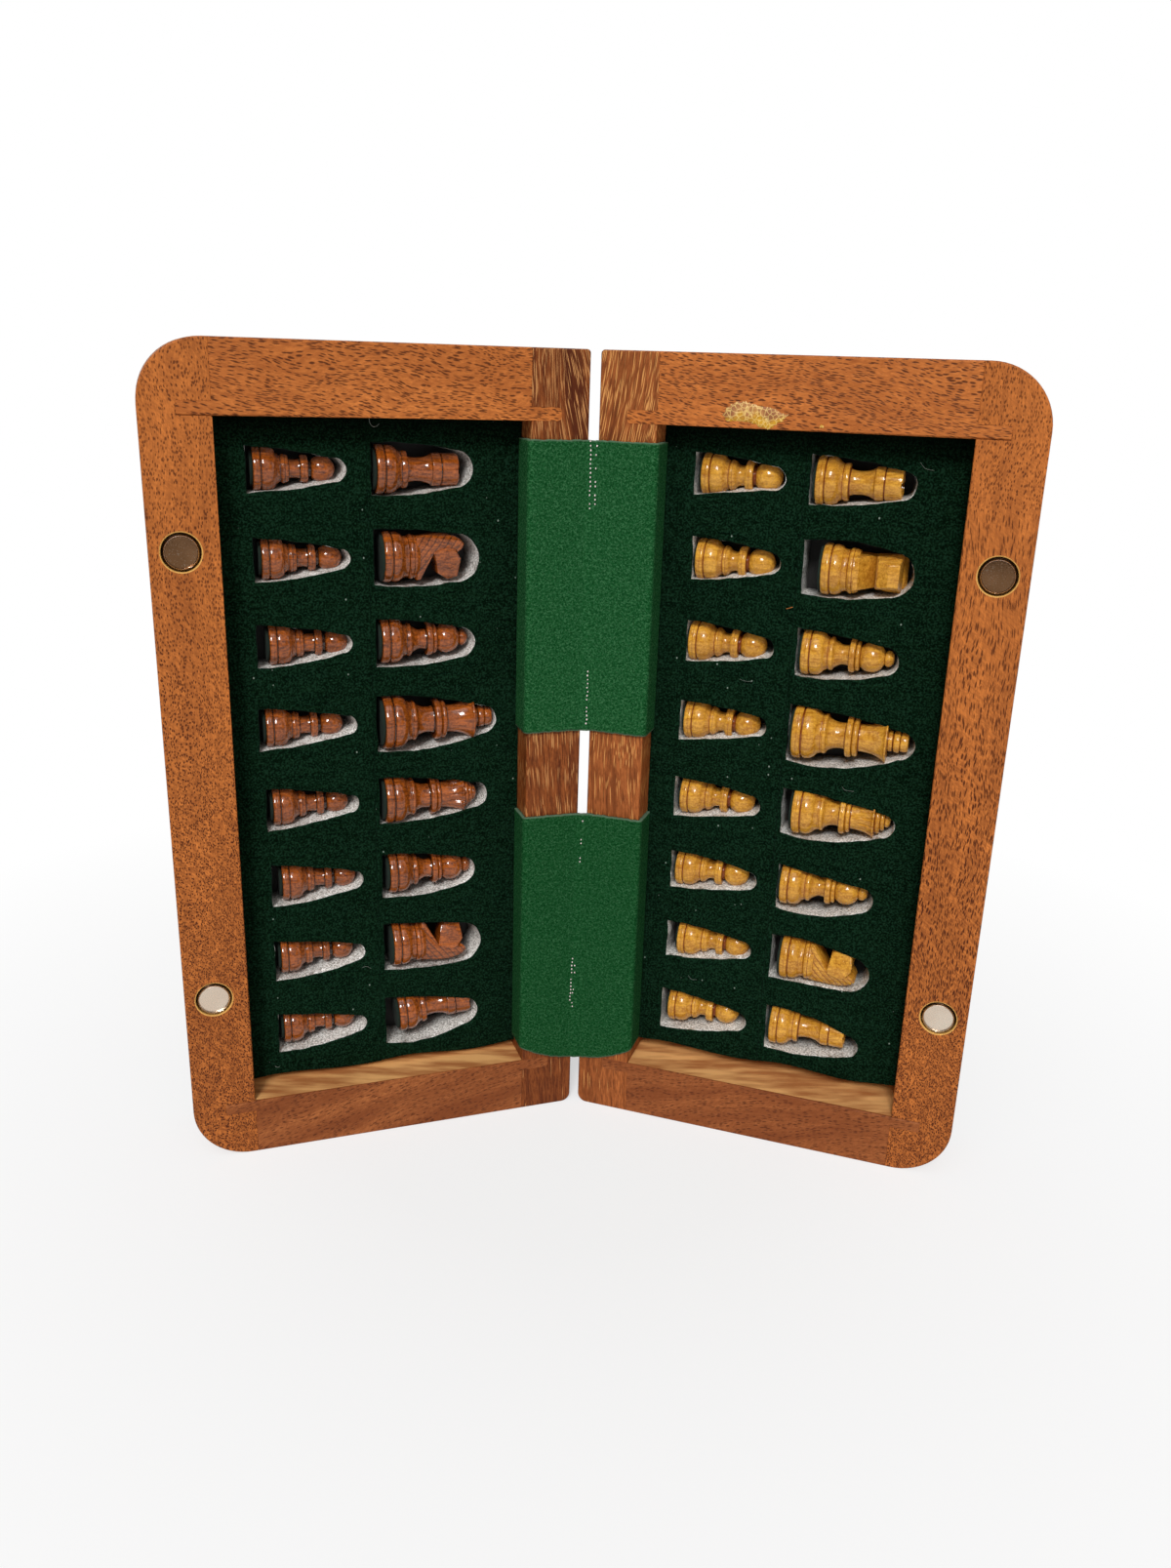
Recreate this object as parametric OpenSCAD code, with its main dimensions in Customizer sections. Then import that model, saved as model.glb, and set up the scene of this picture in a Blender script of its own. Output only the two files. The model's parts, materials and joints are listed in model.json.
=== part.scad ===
// Folding travel chess box: two shallow wooden trays that open like a book on cloth strap hinges.
// Inside each tray a velvet-faced foam insert keeps sixteen chessmen; the backs make the board.
// The trays stand on their lower ends, each turned forward from the flat position, insides to -Y.

/* [Trays] */
// Height of a tray, which is the length of the closed box
tray_h = 178; // [170:0.5:210]
// Width of a tray, from the spine edge to the outer edge
tray_w = 89.4; // [88:0.2:110]
// Radius of the two outer corners of a tray
corner_r = 12.5; // [3:0.5:13.5]
// Radius of the upper corner at the spine
spine_top_r = 0.8; // [0.4:0.1:3]
// Radius of the lower corner at the spine
spine_foot_r = 2.2; // [0.4:0.1:3]

/* [Frame rails] */
// Width of the long rail at the outer edge
outer_rail_w = 13.6; // [13.6:0.2:18]
// Width of the long rail at the spine
spine_rail_w = 12.6; // [10:0.2:18]
// Height of the short rail at the top
top_rail_h = 14.3; // [10:0.1:18]
// Height of the short rail at the bottom
bottom_rail_h = 13.4; // [10:0.1:18]
// Depth of all four rails, from the rim to the board panel
rail_d = 16; // [14:0.5:24]
// Length of the tongues that let the short rails into the long ones
tongue_l = 6.5; // [3:0.1:8]
// Thickness of those tongues
tongue_t = 2.7; // [1.5:0.1:5]
// Radius of the cutter marks at the spine end of a tongue
tongue_r = 0.8; // [0.2:0.1:1.2]

/* [Closing magnets] */
// Diameter of a magnet disc in the rim
magnet_d = 7.3; // [5:0.1:9]
// Thickness of a magnet disc
magnet_t = 3; // [1:0.1:6]
// Clearance round a magnet in its bore
magnet_play = 0.2; // [0.1:0.05:0.4]
// How far a magnet lies below the rim
magnet_sink = 0.15; // [0:0.05:0.6]
// Distance of the magnets from the outer edge
magnet_inset = 6.2; // [5.8:0.1:8]
// Height of the lower magnet above the foot
magnet_low = 40.4; // [25:0.1:60]
// Height of the upper magnet above the foot
magnet_high = 138; // [110:0.5:150]

/* [Board] */
// Margin between the playing board and each end of the tray
board_margin = 9; // [4:0.5:20]
// Width of the dark line between inlaid squares
inlay_line = 0.3; // [0.2:0.05:0.8]
// Thickness of the plywood panel behind the rails
panel_t = 2.8; // [2:0.1:5]
// Thickness of the steel sheet that holds the magnetic men on the board
steel_t = 0.4; // [0.3:0.1:1]
// Margin of the steel sheet inside the panel's edge
steel_margin = 6; // [4:0.5:15]
// Thickness of the board veneer
veneer_t = 1.2; // [0.6:0.1:2]

/* [Strap hinge] */
// Angle that each tray is turned forward from the flat position
lean = 18.7; // [5:0.1:40]
// Gap between the spine edges when the box lies open flat
hinge_gap = 1.4; // [0.8:0.1:3]
// Thickness of the cloth straps
strap_t = 0.8; // [0.4:0.1:1.5]
// Spare room between the two folded layers of a strap, half of it on each side
fold_room = 0.15; // [0.05:0.05:0.5]
// Foot of the lower strap at the fold
lower_strap_foot = 13; // [8:0.5:30]
// Head of the lower strap
lower_strap_head = 76.8; // [60:0.2:80]
// Foot of the upper strap
upper_strap_foot = 96.8; // [90:0.2:110]
// Gap between the head of the upper strap and the top rail
strap_head_gap = 3.7; // [1:0.1:20]
// Rise of the rounded foot of the lower strap, from the fold to the inner edge of the rails
strap_foot_rise = 4.5; // [1:0.5:8]
// How far the glued flaps stop above the velvet
flap_stop = 0.3; // [0.2:0.1:3]

/* [Inserts] */
// Depth of the velvet surface below the rim
recess_d = 7; // [4:0.1:8]
// Thickness of the velvet facing
velvet_t = 0.6; // [0.3:0.1:1.2]
// Width of the strip of foam that holds the pawns
pawn_strip_w = 30.2; // [28:0.1:31]
// Gap between the pawn strip and the strip for the pieces
seam_gap = 0.2; // [0.1:0.1:0.6]
// Gap between the case insert and the bottom rail
case_foot_gap = 1.5; // [0.3:0.1:5]
// Gap between the lid insert and the bottom rail
lid_foot_gap = 3.5; // [0.3:0.1:5]
// Plain velvet above the top row and below the bottom row, together
row_margin = 5.1; // [4:0.1:14]
// Height of the middle of the rows above the middle of the insert's well
row_shift = 1.1; // [-1:0.1:1.5]
// Distance of the pawn slots from the left wall of the well
pawn_slot_inset = 6.4; // [3:0.1:8]
// Distance of the slots for the pieces from the left wall of the well
piece_slot_inset = 31.3; // [31.2:0.1:33]
// Clearance between a base and the sides of its slot
slot_play = 0.45; // [0.35:0.05:0.8]
// Room left in a slot at its square end
slot_end_play = 1; // [0.4:0.1:2]
// Gap between a man and the slot wall or floor that it lies on
rest_gap = 0.3; // [0.2:0.05:0.35]

/* [Chessmen] */
// Width of the well that the sizes of the men and their strips are given for
men_well_w = 63.2; // [55:0.1:72]
// Thickness of the felt pad under a base
felt_t = 0.6; // [0.4:0.1:1]
// Height of a pawn
pawn_h = 17.5; // [15:0.1:18.5]
// Diameter of a pawn's base
pawn_d = 8.5; // [7.5:0.1:9]
// Height of a rook
rook_h = 18; // [16:0.1:20]
// Diameter of a rook's base
rook_d = 10.2; // [9:0.1:10.8]
// Height of a knight
knight_h = 17.9; // [16:0.1:20]
// Diameter of a knight's base
knight_d = 10.8; // [9.5:0.1:11.4]
// Height of a bishop
bishop_h = 20; // [18:0.1:22]
// Diameter of a bishop's base
bishop_d = 10; // [9:0.1:10.8]
// Height of a queen
queen_h = 21.8; // [20:0.1:24]
// Diameter of a queen's base
queen_d = 11.2; // [10:0.1:11.8]
// Height of a king
king_h = 25.2; // [23:0.1:26]
// Diameter of a king's base
king_d = 12; // [11:0.1:12.4]

/* [Hidden] */
$fn = 48;
// The well is the space inside the four rails.
well_w = tray_w - outer_rail_w - spine_rail_w;
well_h = tray_h - top_rail_h - bottom_rail_h;
upper_strap_head = tray_h - top_rail_h - strap_head_gap;
foam_front = recess_d + velvet_t;
// The rows share the well's height, and the men and their strips keep to its width.
row_pitch = (well_h - row_margin) / 8;
men_scale = well_w / men_well_w;
pawn_strip_x = men_scale * pawn_strip_w;
knight_scale = man_d("knight") / 10.8;
board_back = rail_d + panel_t + veneer_t;
square_w = (tray_h - 2 * board_margin) / 8;
// The fold line of the straps is the hinge axis, a little in front of the rims.
rim_back = strap_t + fold_room;
front_reach = -(tray_w + hinge_gap / 2) * sin(lean) + rim_back * cos(lean);
back_reach = -hinge_gap / 2 * sin(lean) + (rim_back + board_back) * cos(lean);
hinge_y = -(front_reach + back_reach) / 2;

// The rows from the top: each name gives the man that lies there.
ROWS = ["rook", "knight", "bishop", "king", "queen", "bishop", "knight", "rook"];
function row_z(i) = bottom_rail_h + well_h / 2 + row_shift + (3.5 - i) * row_pitch;
function man_h(kind) = men_scale * (kind == "pawn" ? pawn_h : kind == "rook" ? rook_h
    : kind == "knight" ? knight_h : kind == "bishop" ? bishop_h : kind == "queen" ? queen_h : king_h);
function man_d(kind) = men_scale * (kind == "pawn" ? pawn_d : kind == "rook" ? rook_d
    : kind == "knight" ? knight_d : kind == "bishop" ? bishop_d : kind == "queen" ? queen_d : king_d);
// How far each base stands from the square end of its slot, from the top row down.
DARK_PAWN_SEATS = [0.6, 1.4, 2.1, 0.5, 1.1, 2.2, 1.1, 0.9];
DARK_PIECE_SEATS = [0.4, 1.5, 0.7, 0.7, 0.7, 1.3, 1.7, 2.8];
LIGHT_PAWN_SEATS = [1.1, 0.9, 0.4, 0.4, 0.5, 0.4, 1.8, 0.5];
LIGHT_PIECE_SEATS = [0.6, 3.4, 0.6, 0.4, 1.8, 0.4, 2, 0.8];
// Room left beyond the head of each man, and the share of the slot's width that its round tip has.
function tip_play(kind) = men_scale * tip_room(kind);
function tip_room(kind) = kind == "pawn" ? 1.6 : kind == "rook" ? 2.9
    : kind == "knight" ? 4 : kind == "bishop" ? 1.1 : kind == "queen" ? 2.1 : 1.1;
function tip_share(kind) = kind == "pawn" ? 0.68 : kind == "rook" ? 0.9
    : kind == "knight" ? 0.93 : kind == "bishop" ? 0.74 : kind == "queen" ? 0.78 : 0.7;

// Placement. A tray is drawn with its spine edge on x = 0, its rim on y = 0 and its foot on z = 0.
module in_case() {
    translate([0, hinge_y, 0]) rotate([0, 0, lean]) translate([-hinge_gap / 2, rim_back, 0]) children();
}

module in_lid() {
    translate([0, hinge_y, 0]) rotate([0, 0, -lean]) translate([hinge_gap / 2, rim_back, 0]) children();
}

// The frame parts are drawn once, outward along +X, and mirrored for the case.
module case_frame() {
    in_case() mirror([1, 0, 0]) children();
}

// Both inserts face the same way, so they are placed from the left wall of their well.
module in_case_well() {
    in_case() translate([-(tray_w - outer_rail_w), 0, 0]) children();
}

module in_lid_well() {
    in_lid() translate([spine_rail_w, 0, 0]) children();
}

// A flat outline in X and Z, thickened from depth y0 to depth y1.
module slab(y0, y1) {
    translate([0, y1, 0]) rotate([90, 0, 0]) linear_extrude(y1 - y0) children();
}

// Frame
module corner_waste(r) {
    difference() {
        translate([-1, -1]) square(r + 1);
        translate([r, r]) circle(r);
    }
}

module tray_outline() {
    difference() {
        square([tray_w, tray_h]);
        corner_waste(spine_foot_r);
        translate([0, tray_h]) mirror([0, 1]) corner_waste(spine_top_r);
        translate([tray_w, 0]) mirror([1, 0]) corner_waste(corner_r);
        translate([tray_w, tray_h]) rotate(180) corner_waste(corner_r);
    }
}

// One short rail's tongues, level with the well side of the rail, square at the outer end.
module tongue_outline(z0) {
    translate([spine_rail_w - tongue_l, z0]) difference() {
        square([well_w + 2 * tongue_l, tongue_t]);
        corner_waste(tongue_r);
        translate([0, tongue_t]) mirror([0, 1]) corner_waste(tongue_r);
    }
}

module both_tongues() {
    tongue_outline(bottom_rail_h - tongue_t);
    tongue_outline(tray_h - top_rail_h);
}

module magnet_places() {
    for (z = [magnet_low, magnet_high])
        translate([tray_w - magnet_inset, 0, z]) rotate([-90, 0, 0]) children();
}

module outer_rail() {
    color("#b5682f") difference() {
        slab(0, rail_d) difference() {
            intersection() {
                tray_outline();
                translate([tray_w - outer_rail_w, 0]) square([outer_rail_w, tray_h]);
            }
            both_tongues();
        }
        magnet_places() translate([0, 0, -1])
            cylinder(d = magnet_d + 2 * magnet_play, h = 1 + magnet_sink + magnet_t);
    }
}

module spine_rail() {
    color("#8f4c22") slab(0, rail_d) difference() {
        intersection() {
            tray_outline();
            square([spine_rail_w, tray_h]);
        }
        both_tongues();
    }
}

module top_rail() {
    color("#b96c32") slab(0, rail_d) {
        translate([spine_rail_w, tray_h - top_rail_h]) square([well_w, top_rail_h]);
        tongue_outline(tray_h - top_rail_h);
    }
}

module bottom_rail() {
    color("#a55c2a") slab(0, rail_d) {
        translate([spine_rail_w, 0]) square([well_w, bottom_rail_h]);
        tongue_outline(bottom_rail_h - tongue_t);
    }
}

module magnets() {
    color("silver") magnet_places() translate([0, 0, magnet_sink]) cylinder(d = magnet_d, h = magnet_t);
}

// Board: plywood panel, steel sheet let into it, dark veneer and light squares let into that.
module steel_outline() {
    translate([steel_margin, steel_margin])
        square([tray_w - 2 * steel_margin, tray_h - 2 * steel_margin]);
}

module board_panel() {
    color("#c79a62") difference() {
        slab(rail_d, rail_d + panel_t) tray_outline();
        slab(rail_d + panel_t - steel_t, rail_d + panel_t + 1) steel_outline();
    }
}

module steel_sheet() {
    color("#8b9096") slab(rail_d + panel_t - steel_t, rail_d + panel_t) steel_outline();
}

// Squares of one colour, counted from the spine and from the foot; the first row runs to the spine edge.
module light_square_outlines(parity, spine_cut) {
    for (i = [0 : 3], j = [0 : 7])
        if ((i + j) % 2 == parity) {
            x0 = i == 0 ? -spine_cut : i * square_w + inlay_line / 2;
            translate([x0, board_margin + j * square_w + inlay_line / 2])
                square([(i + 1) * square_w - inlay_line / 2 - x0, square_w - inlay_line]);
        }
}

module board_veneer(parity) {
    color("#5a3520") slab(rail_d + panel_t, board_back) difference() {
        tray_outline();
        light_square_outlines(parity, 1);
    }
}

module light_squares(parity) {
    color("#d8b27a") slab(rail_d + panel_t, board_back) light_square_outlines(parity, 0);
}

// Inserts
// A slot is square at the base end and bellies into a round tip: two large arcs meet the tip's circle.
// The arcs are centred at x = belly, at the height arc_drop(...) beyond the middle line.
function arc_a(r, w, xc, xs) = (r * r + xs * xs - (xc - xs) * (xc - xs) + w * w / 4) / (2 * r);
function arc_qb(a, b, w) = 2 * a * b - w;
function arc_root(a, b, w, xs) =
    let (qa = b * b - 1, qb = arc_qb(a, b, w), qc = a * a - xs * xs - w * w / 4)
    (-qb + sqrt(qb * qb - 4 * qa * qc)) / (2 * qa);

module slot_outline(len, w, share) {
    r = share * w / 2;
    xc = len - r;
    xs = 0.18 * len;
    a = arc_a(r, w, xc, xs);
    b = w / (2 * r);
    drop = arc_root(a, b, w, xs);
    big = a + b * drop;
    xt = xc + r * (xc - xs) / (big - r);
    intersection() {
        translate([xs, -drop]) circle(big, $fn = 720);
        translate([xs, drop]) circle(big, $fn = 720);
        translate([0, -w]) square([xt, 2 * w]);
    }
    translate([xc, 0]) circle(r);
}

module man_slot(kind) {
    slot_outline(man_h(kind) + slot_end_play + tip_play(kind), man_d(kind) + 2 * slot_play, tip_share(kind));
}

module pawn_strip_outline(foot_gap) {
    difference() {
        translate([0, bottom_rail_h + foot_gap]) square([pawn_strip_x, well_h - foot_gap]);
        for (i = [0 : 7]) translate([men_scale * pawn_slot_inset, row_z(i)]) man_slot("pawn");
    }
}

module piece_strip_outline(foot_gap) {
    x0 = pawn_strip_x + seam_gap;
    difference() {
        translate([x0, bottom_rail_h + foot_gap]) square([well_w - x0, well_h - foot_gap]);
        for (i = [0 : 7]) translate([men_scale * piece_slot_inset, row_z(i)]) man_slot(ROWS[i]);
    }
}

module pawn_foam(foot_gap) {
    color("#77797a") slab(foam_front, rail_d) pawn_strip_outline(foot_gap);
}

module piece_foam(foot_gap) {
    color("#77797a") slab(foam_front, rail_d) piece_strip_outline(foot_gap);
}

module pawn_velvet(foot_gap) {
    color("#0b3a22") slab(recess_d, foam_front) pawn_strip_outline(foot_gap);
}

module piece_velvet(foot_gap) {
    color("#0b3a22") slab(recess_d, foam_front) piece_strip_outline(foot_gap);
}

// Straps: glued over both spine rims, across the fold and down the inner sides of the spine rails.
// One wing in section, from the front of the fold out to the flap and back along the glued side.
function strap_wing() = concat(
    [[0, -strap_t], [spine_rail_w, -strap_t]],
    [for (a = [-75 : 15 : 0]) [spine_rail_w + strap_t * cos(a), strap_t * sin(a)]],
    [[spine_rail_w + strap_t, recess_d - flap_stop], [spine_rail_w, recess_d - flap_stop],
        [spine_rail_w, 0], [0, 0]]);
// Turns a point of the lid's wing about the fold line, from the flat position to the open one.
function leaned(p) = let (x = p[0] + hinge_gap / 2, y = p[1] + rim_back)
    [x * cos(lean) + y * sin(lean), y * cos(lean) - x * sin(lean)];

module strap_section() {
    lid_wing = [for (p = strap_wing()) leaned(p)];
    case_wing = [for (i = [len(lid_wing) - 1 : -1 : 0]) [-lid_wing[i][0], lid_wing[i][1]]];
    polygon(concat(lid_wing, case_wing));
}

module strap_band(z0, z1) {
    color("#1d5a30") translate([0, hinge_y, z0]) linear_extrude(z1 - z0) strap_section();
}

module upper_strap() {
    strap_band(upper_strap_foot, upper_strap_head);
}

module lower_strap() {
    half = spine_rail_w + strap_t;
    arc_r = (half * half + strap_foot_rise * strap_foot_rise) / (2 * strap_foot_rise);
    color("#1d5a30") intersection() {
        strap_band(lower_strap_foot, lower_strap_head);
        slab(front_reach + hinge_y, back_reach + hinge_y) {
            translate([0, lower_strap_foot + arc_r]) circle(arc_r, $fn = 144);
            translate([-arc_r, lower_strap_foot + arc_r]) square([2 * arc_r, lower_strap_head]);
        }
    }
}

// Chessmen, each turned about +Z from its felt pad, then laid with its head along +X
// Profiles are lists of [share of the base radius, share of the height].
function turned(kind, list) =
    [for (p = list) [p[0] * man_d(kind) / 2, felt_t + p[1] * (man_h(kind) - felt_t)]];
function pad(kind) = [[0, 0], [man_d(kind) / 2 - 0.35, 0], [man_d(kind) / 2 - 0.35, felt_t]];
// The lower part of every man: a ring, a fine groove and a bell that falls to the shoulder at share z1.
function foot(ring, z1, shoulder) = concat(
    [[1, 0], [1, ring], [0.93, ring], [0.93, ring + 0.012]],
    [for (t = [0 : 0.2 : 1]) [shoulder + (0.99 - shoulder) * cos(90 * t),
        ring + 0.012 + (z1 - ring - 0.012) * (0.25 + 0.75 * sin(90 * t)) * (t == 0 ? 0 : 1)]]);

module turned_body(kind, list) {
    rotate_extrude() polygon(concat(pad(kind), turned(kind, list)));
}

module ball(kind, r_share, z_share) {
    translate([0, 0, felt_t + z_share * (man_h(kind) - felt_t)]) sphere(r_share * man_d(kind) / 2);
}

module pawn() {
    turned_body("pawn", concat(foot(0.09, 0.31, 0.55), [[0.5, 0.335], [0.62, 0.345], [0.64, 0.375],
        [0.62, 0.405], [0.46, 0.415], [0.43, 0.48], [0.46, 0.545], [0.64, 0.555], [0.66, 0.595],
        [0.64, 0.635], [0.4, 0.645], [0.4, 0.75], [0, 0.75]]));
    ball("pawn", 0.68, 0.829);
}

module rook() {
    h = man_h("rook");
    d = man_d("rook");
    difference() {
        turned_body("rook", concat(foot(0.095, 0.3, 0.66), [[0.63, 0.33], [0.67, 0.345], [0.68, 0.38],
            [0.66, 0.41], [0.45, 0.42], [0.42, 0.5], [0.44, 0.6], [0.58, 0.69], [0.61, 0.7],
            [0.61, 0.785], [0.54, 0.79], [0.54, 0.8], [0.61, 0.805], [0.6, 1], [0, 1]]));
        translate([0, 0, h - d * 0.09]) cylinder(d = d * 0.38, h = d);
        for (a = [0, 90]) rotate(a) translate([-d, -d * 0.045, h - d * 0.09]) cube([2 * d, d * 0.09, d]);
    }
}

module bishop() {
    turned_body("bishop", concat(foot(0.085, 0.28, 0.66), [[0.63, 0.3], [0.66, 0.315], [0.66, 0.36],
        [0.46, 0.37], [0.42, 0.44], [0.45, 0.51], [0.66, 0.52], [0.68, 0.555], [0.66, 0.59],
        [0.5, 0.6], [0.52, 0.635], [0.42, 0.645], [0.46, 0.665], [0.54, 0.71], [0.57, 0.755],
        [0.55, 0.81], [0.46, 0.87], [0.3, 0.92], [0.14, 0.935], [0.14, 0.945], [0, 0.945]]));
    ball("bishop", 0.17, 0.957);
}

module queen() {
    turned_body("queen", concat(foot(0.08, 0.26, 0.72), [[0.68, 0.28], [0.7, 0.29], [0.7, 0.33],
        [0.5, 0.34], [0.47, 0.4], [0.5, 0.475], [0.71, 0.485], [0.73, 0.52], [0.71, 0.555],
        [0.56, 0.56], [0.58, 0.595], [0.54, 0.6], [0.58, 0.605], [0.56, 0.64], [0.51, 0.65],
        [0.56, 0.74], [0.73, 0.86], [0.7, 0.87], [0.5, 0.87], [0.49, 0.905], [0.42, 0.945],
        [0.26, 0.985], [0, 1]]));
}

module king() {
    turned_body("king", concat(foot(0.08, 0.24, 0.7), [[0.68, 0.265], [0.69, 0.275], [0.69, 0.31],
        [0.51, 0.32], [0.48, 0.38], [0.51, 0.455], [0.71, 0.465], [0.73, 0.495], [0.71, 0.53],
        [0.56, 0.535], [0.58, 0.575], [0.55, 0.585], [0.58, 0.68], [0.73, 0.8], [0.75, 0.815],
        [0.4, 0.82], [0.32, 0.825], [0.32, 0.865], [0.35, 0.87], [0.36, 0.925], [0.32, 0.93],
        [0.32, 0.935], [0.35, 0.94], [0.34, 1], [0, 1]]));
}

// The knight's neck is sawn from a board in side view, thinner towards the mane. Its head is a six-sided
// block across it that tapers to the muzzle.
module knight_side(outline, thickness) {
    rotate([90, 0, 0]) translate([0, 0, -thickness / 2]) linear_extrude(thickness) polygon(outline);
}

module knight_plan(outline) {
    translate([0, 0, -2]) linear_extrude(14) polygon(outline);
}

module knight_neck() {
    intersection() {
        knight_side([[-4.4, -1.6], [-4.7, 1.2], [-4.9, 3.6], [-4.8, 6.2], [-4.4, 7.9], [-3.8, 9.2],
            [-2.9, 9.9], [-1.8, 9.3], [-0.8, 8], [0.6, 7], [0.6, 3.6], [-0.9, 3.3], [4.6, 0.3],
            [4.6, -1.6]], 7);
        knight_plan([[-6, -1], [-2.6, -3.4], [6, -3.5], [6, 3.5], [-2.6, 3.4], [-6, 1]]);
    }
}

module knight_head() {
    intersection() {
        knight_side([[-1.4, 3.5], [3.3, 4.1], [4.8, 6.4], [4.2, 8.6], [0.5, 9.1], [-1.8, 8], [-2.4, 6.3]], 9);
        knight_plan([[-3, -4], [0, -3.8], [5, -2.3], [5, 2.3], [0, 3.8], [-3, 4]]);
    }
}

module knight(roll) {
    turned_body("knight", concat(foot(0.095, 0.28, 0.8), [[0.76, 0.3], [0.82, 0.315], [0.84, 0.35],
        [0.82, 0.39], [0.78, 0.4], [0.74, 0.43], [0, 0.43]]));
    translate([0, 0, man_h("knight") - 9.9 * knight_scale]) rotate(roll) scale(knight_scale) {
        knight_neck();
        knight_head();
    }
}

// Lays a man in its slot: clear of the square end, on the lower wall and just off the panel.
module lay(kind, inset, seat, i) {
    r = man_d(kind) / 2;
    translate([men_scale * (inset + seat), rail_d - rest_gap - r, row_z(i) - slot_play + rest_gap])
        rotate([0, 90, 0]) children();
}

module lay_pawn(i, seats) {
    lay("pawn", pawn_slot_inset, seats[i], i) pawn();
}

module lay_piece(i, seats, roll) {
    kind = ROWS[i];
    lay(kind, piece_slot_inset, seats[i], i) {
        if (kind == "rook") rook();
        if (kind == "knight") knight(roll);
        if (kind == "bishop") bishop();
        if (kind == "queen") queen();
        if (kind == "king") king();
    }
}

module dark_pawn(i) {
    color("#8a431d") in_case_well() lay_pawn(i, DARK_PAWN_SEATS);
}

module dark_piece(i, roll = 0) {
    color("#8a431d") in_case_well() lay_piece(i, DARK_PIECE_SEATS, roll);
}

module light_pawn(i) {
    color("#d9a648") in_lid_well() lay_pawn(i, LIGHT_PAWN_SEATS);
}

module light_piece(i, roll = 0) {
    color("#d9a648") in_lid_well() lay_piece(i, LIGHT_PIECE_SEATS, roll);
}

case_frame() outer_rail();  // case_outer_rail
case_frame() spine_rail();  // case_spine_rail
case_frame() top_rail();  // case_top_rail
case_frame() bottom_rail();  // case_bottom_rail
case_frame() board_panel();  // case_board_panel
case_frame() steel_sheet();  // case_steel_sheet
case_frame() board_veneer(0);  // case_board_veneer
case_frame() light_squares(0);  // case_light_squares
case_frame() magnets();  // case_magnets
in_case_well() pawn_foam(case_foot_gap);  // case_pawn_foam
in_case_well() piece_foam(case_foot_gap);  // case_piece_foam
in_case_well() pawn_velvet(case_foot_gap);  // case_pawn_velvet
in_case_well() piece_velvet(case_foot_gap);  // case_piece_velvet
in_lid() outer_rail();  // lid_outer_rail
in_lid() spine_rail();  // lid_spine_rail
in_lid() top_rail();  // lid_top_rail
in_lid() bottom_rail();  // lid_bottom_rail
in_lid() board_panel();  // lid_board_panel
in_lid() steel_sheet();  // lid_steel_sheet
in_lid() board_veneer(1);  // lid_board_veneer
in_lid() light_squares(1);  // lid_light_squares
in_lid() magnets();  // lid_magnets
in_lid_well() pawn_foam(lid_foot_gap);  // lid_pawn_foam
in_lid_well() piece_foam(lid_foot_gap);  // lid_piece_foam
in_lid_well() pawn_velvet(lid_foot_gap);  // lid_pawn_velvet
in_lid_well() piece_velvet(lid_foot_gap);  // lid_piece_velvet
upper_strap();
lower_strap();
dark_pawn(0);  // dark_pawn_1
dark_pawn(1);  // dark_pawn_2
dark_pawn(2);  // dark_pawn_3
dark_pawn(3);  // dark_pawn_4
dark_pawn(4);  // dark_pawn_5
dark_pawn(5);  // dark_pawn_6
dark_pawn(6);  // dark_pawn_7
dark_pawn(7);  // dark_pawn_8
dark_piece(0);  // dark_rook_1
dark_piece(1, 0);  // dark_knight_1
dark_piece(2);  // dark_bishop_1
dark_piece(3);  // dark_king
dark_piece(4);  // dark_queen
dark_piece(5);  // dark_bishop_2
dark_piece(6, 166);  // dark_knight_2
dark_piece(7);  // dark_rook_2
light_pawn(0);  // light_pawn_1
light_pawn(1);  // light_pawn_2
light_pawn(2);  // light_pawn_3
light_pawn(3);  // light_pawn_4
light_pawn(4);  // light_pawn_5
light_pawn(5);  // light_pawn_6
light_pawn(6);  // light_pawn_7
light_pawn(7);  // light_pawn_8
light_piece(0);  // light_rook_1
light_piece(1, -90);  // light_knight_1
light_piece(2);  // light_bishop_1
light_piece(3);  // light_king
light_piece(4);  // light_queen
light_piece(5);  // light_bishop_2
light_piece(6, 180);  // light_knight_2
light_piece(7);  // light_rook_2
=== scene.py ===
import json
import math
import random

import bmesh
import bpy
from mathutils import Matrix, Vector, noise
from mathutils.bvhtree import BVHTree


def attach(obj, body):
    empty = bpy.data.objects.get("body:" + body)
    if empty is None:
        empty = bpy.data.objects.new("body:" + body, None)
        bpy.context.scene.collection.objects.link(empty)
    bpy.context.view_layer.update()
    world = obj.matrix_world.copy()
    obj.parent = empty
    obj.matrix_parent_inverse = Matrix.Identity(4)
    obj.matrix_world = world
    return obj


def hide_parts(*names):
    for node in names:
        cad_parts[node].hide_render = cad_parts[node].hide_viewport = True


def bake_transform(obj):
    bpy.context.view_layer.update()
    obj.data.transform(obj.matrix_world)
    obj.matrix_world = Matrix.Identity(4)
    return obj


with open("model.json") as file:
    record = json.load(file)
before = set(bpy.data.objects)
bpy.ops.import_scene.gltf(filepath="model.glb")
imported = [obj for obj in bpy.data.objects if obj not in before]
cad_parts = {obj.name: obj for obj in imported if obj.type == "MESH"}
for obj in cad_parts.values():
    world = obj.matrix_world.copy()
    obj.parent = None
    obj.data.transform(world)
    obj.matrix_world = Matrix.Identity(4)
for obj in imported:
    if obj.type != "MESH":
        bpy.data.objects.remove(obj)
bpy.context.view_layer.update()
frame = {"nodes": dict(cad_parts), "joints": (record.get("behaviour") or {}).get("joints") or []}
scene = bpy.context.scene

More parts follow.
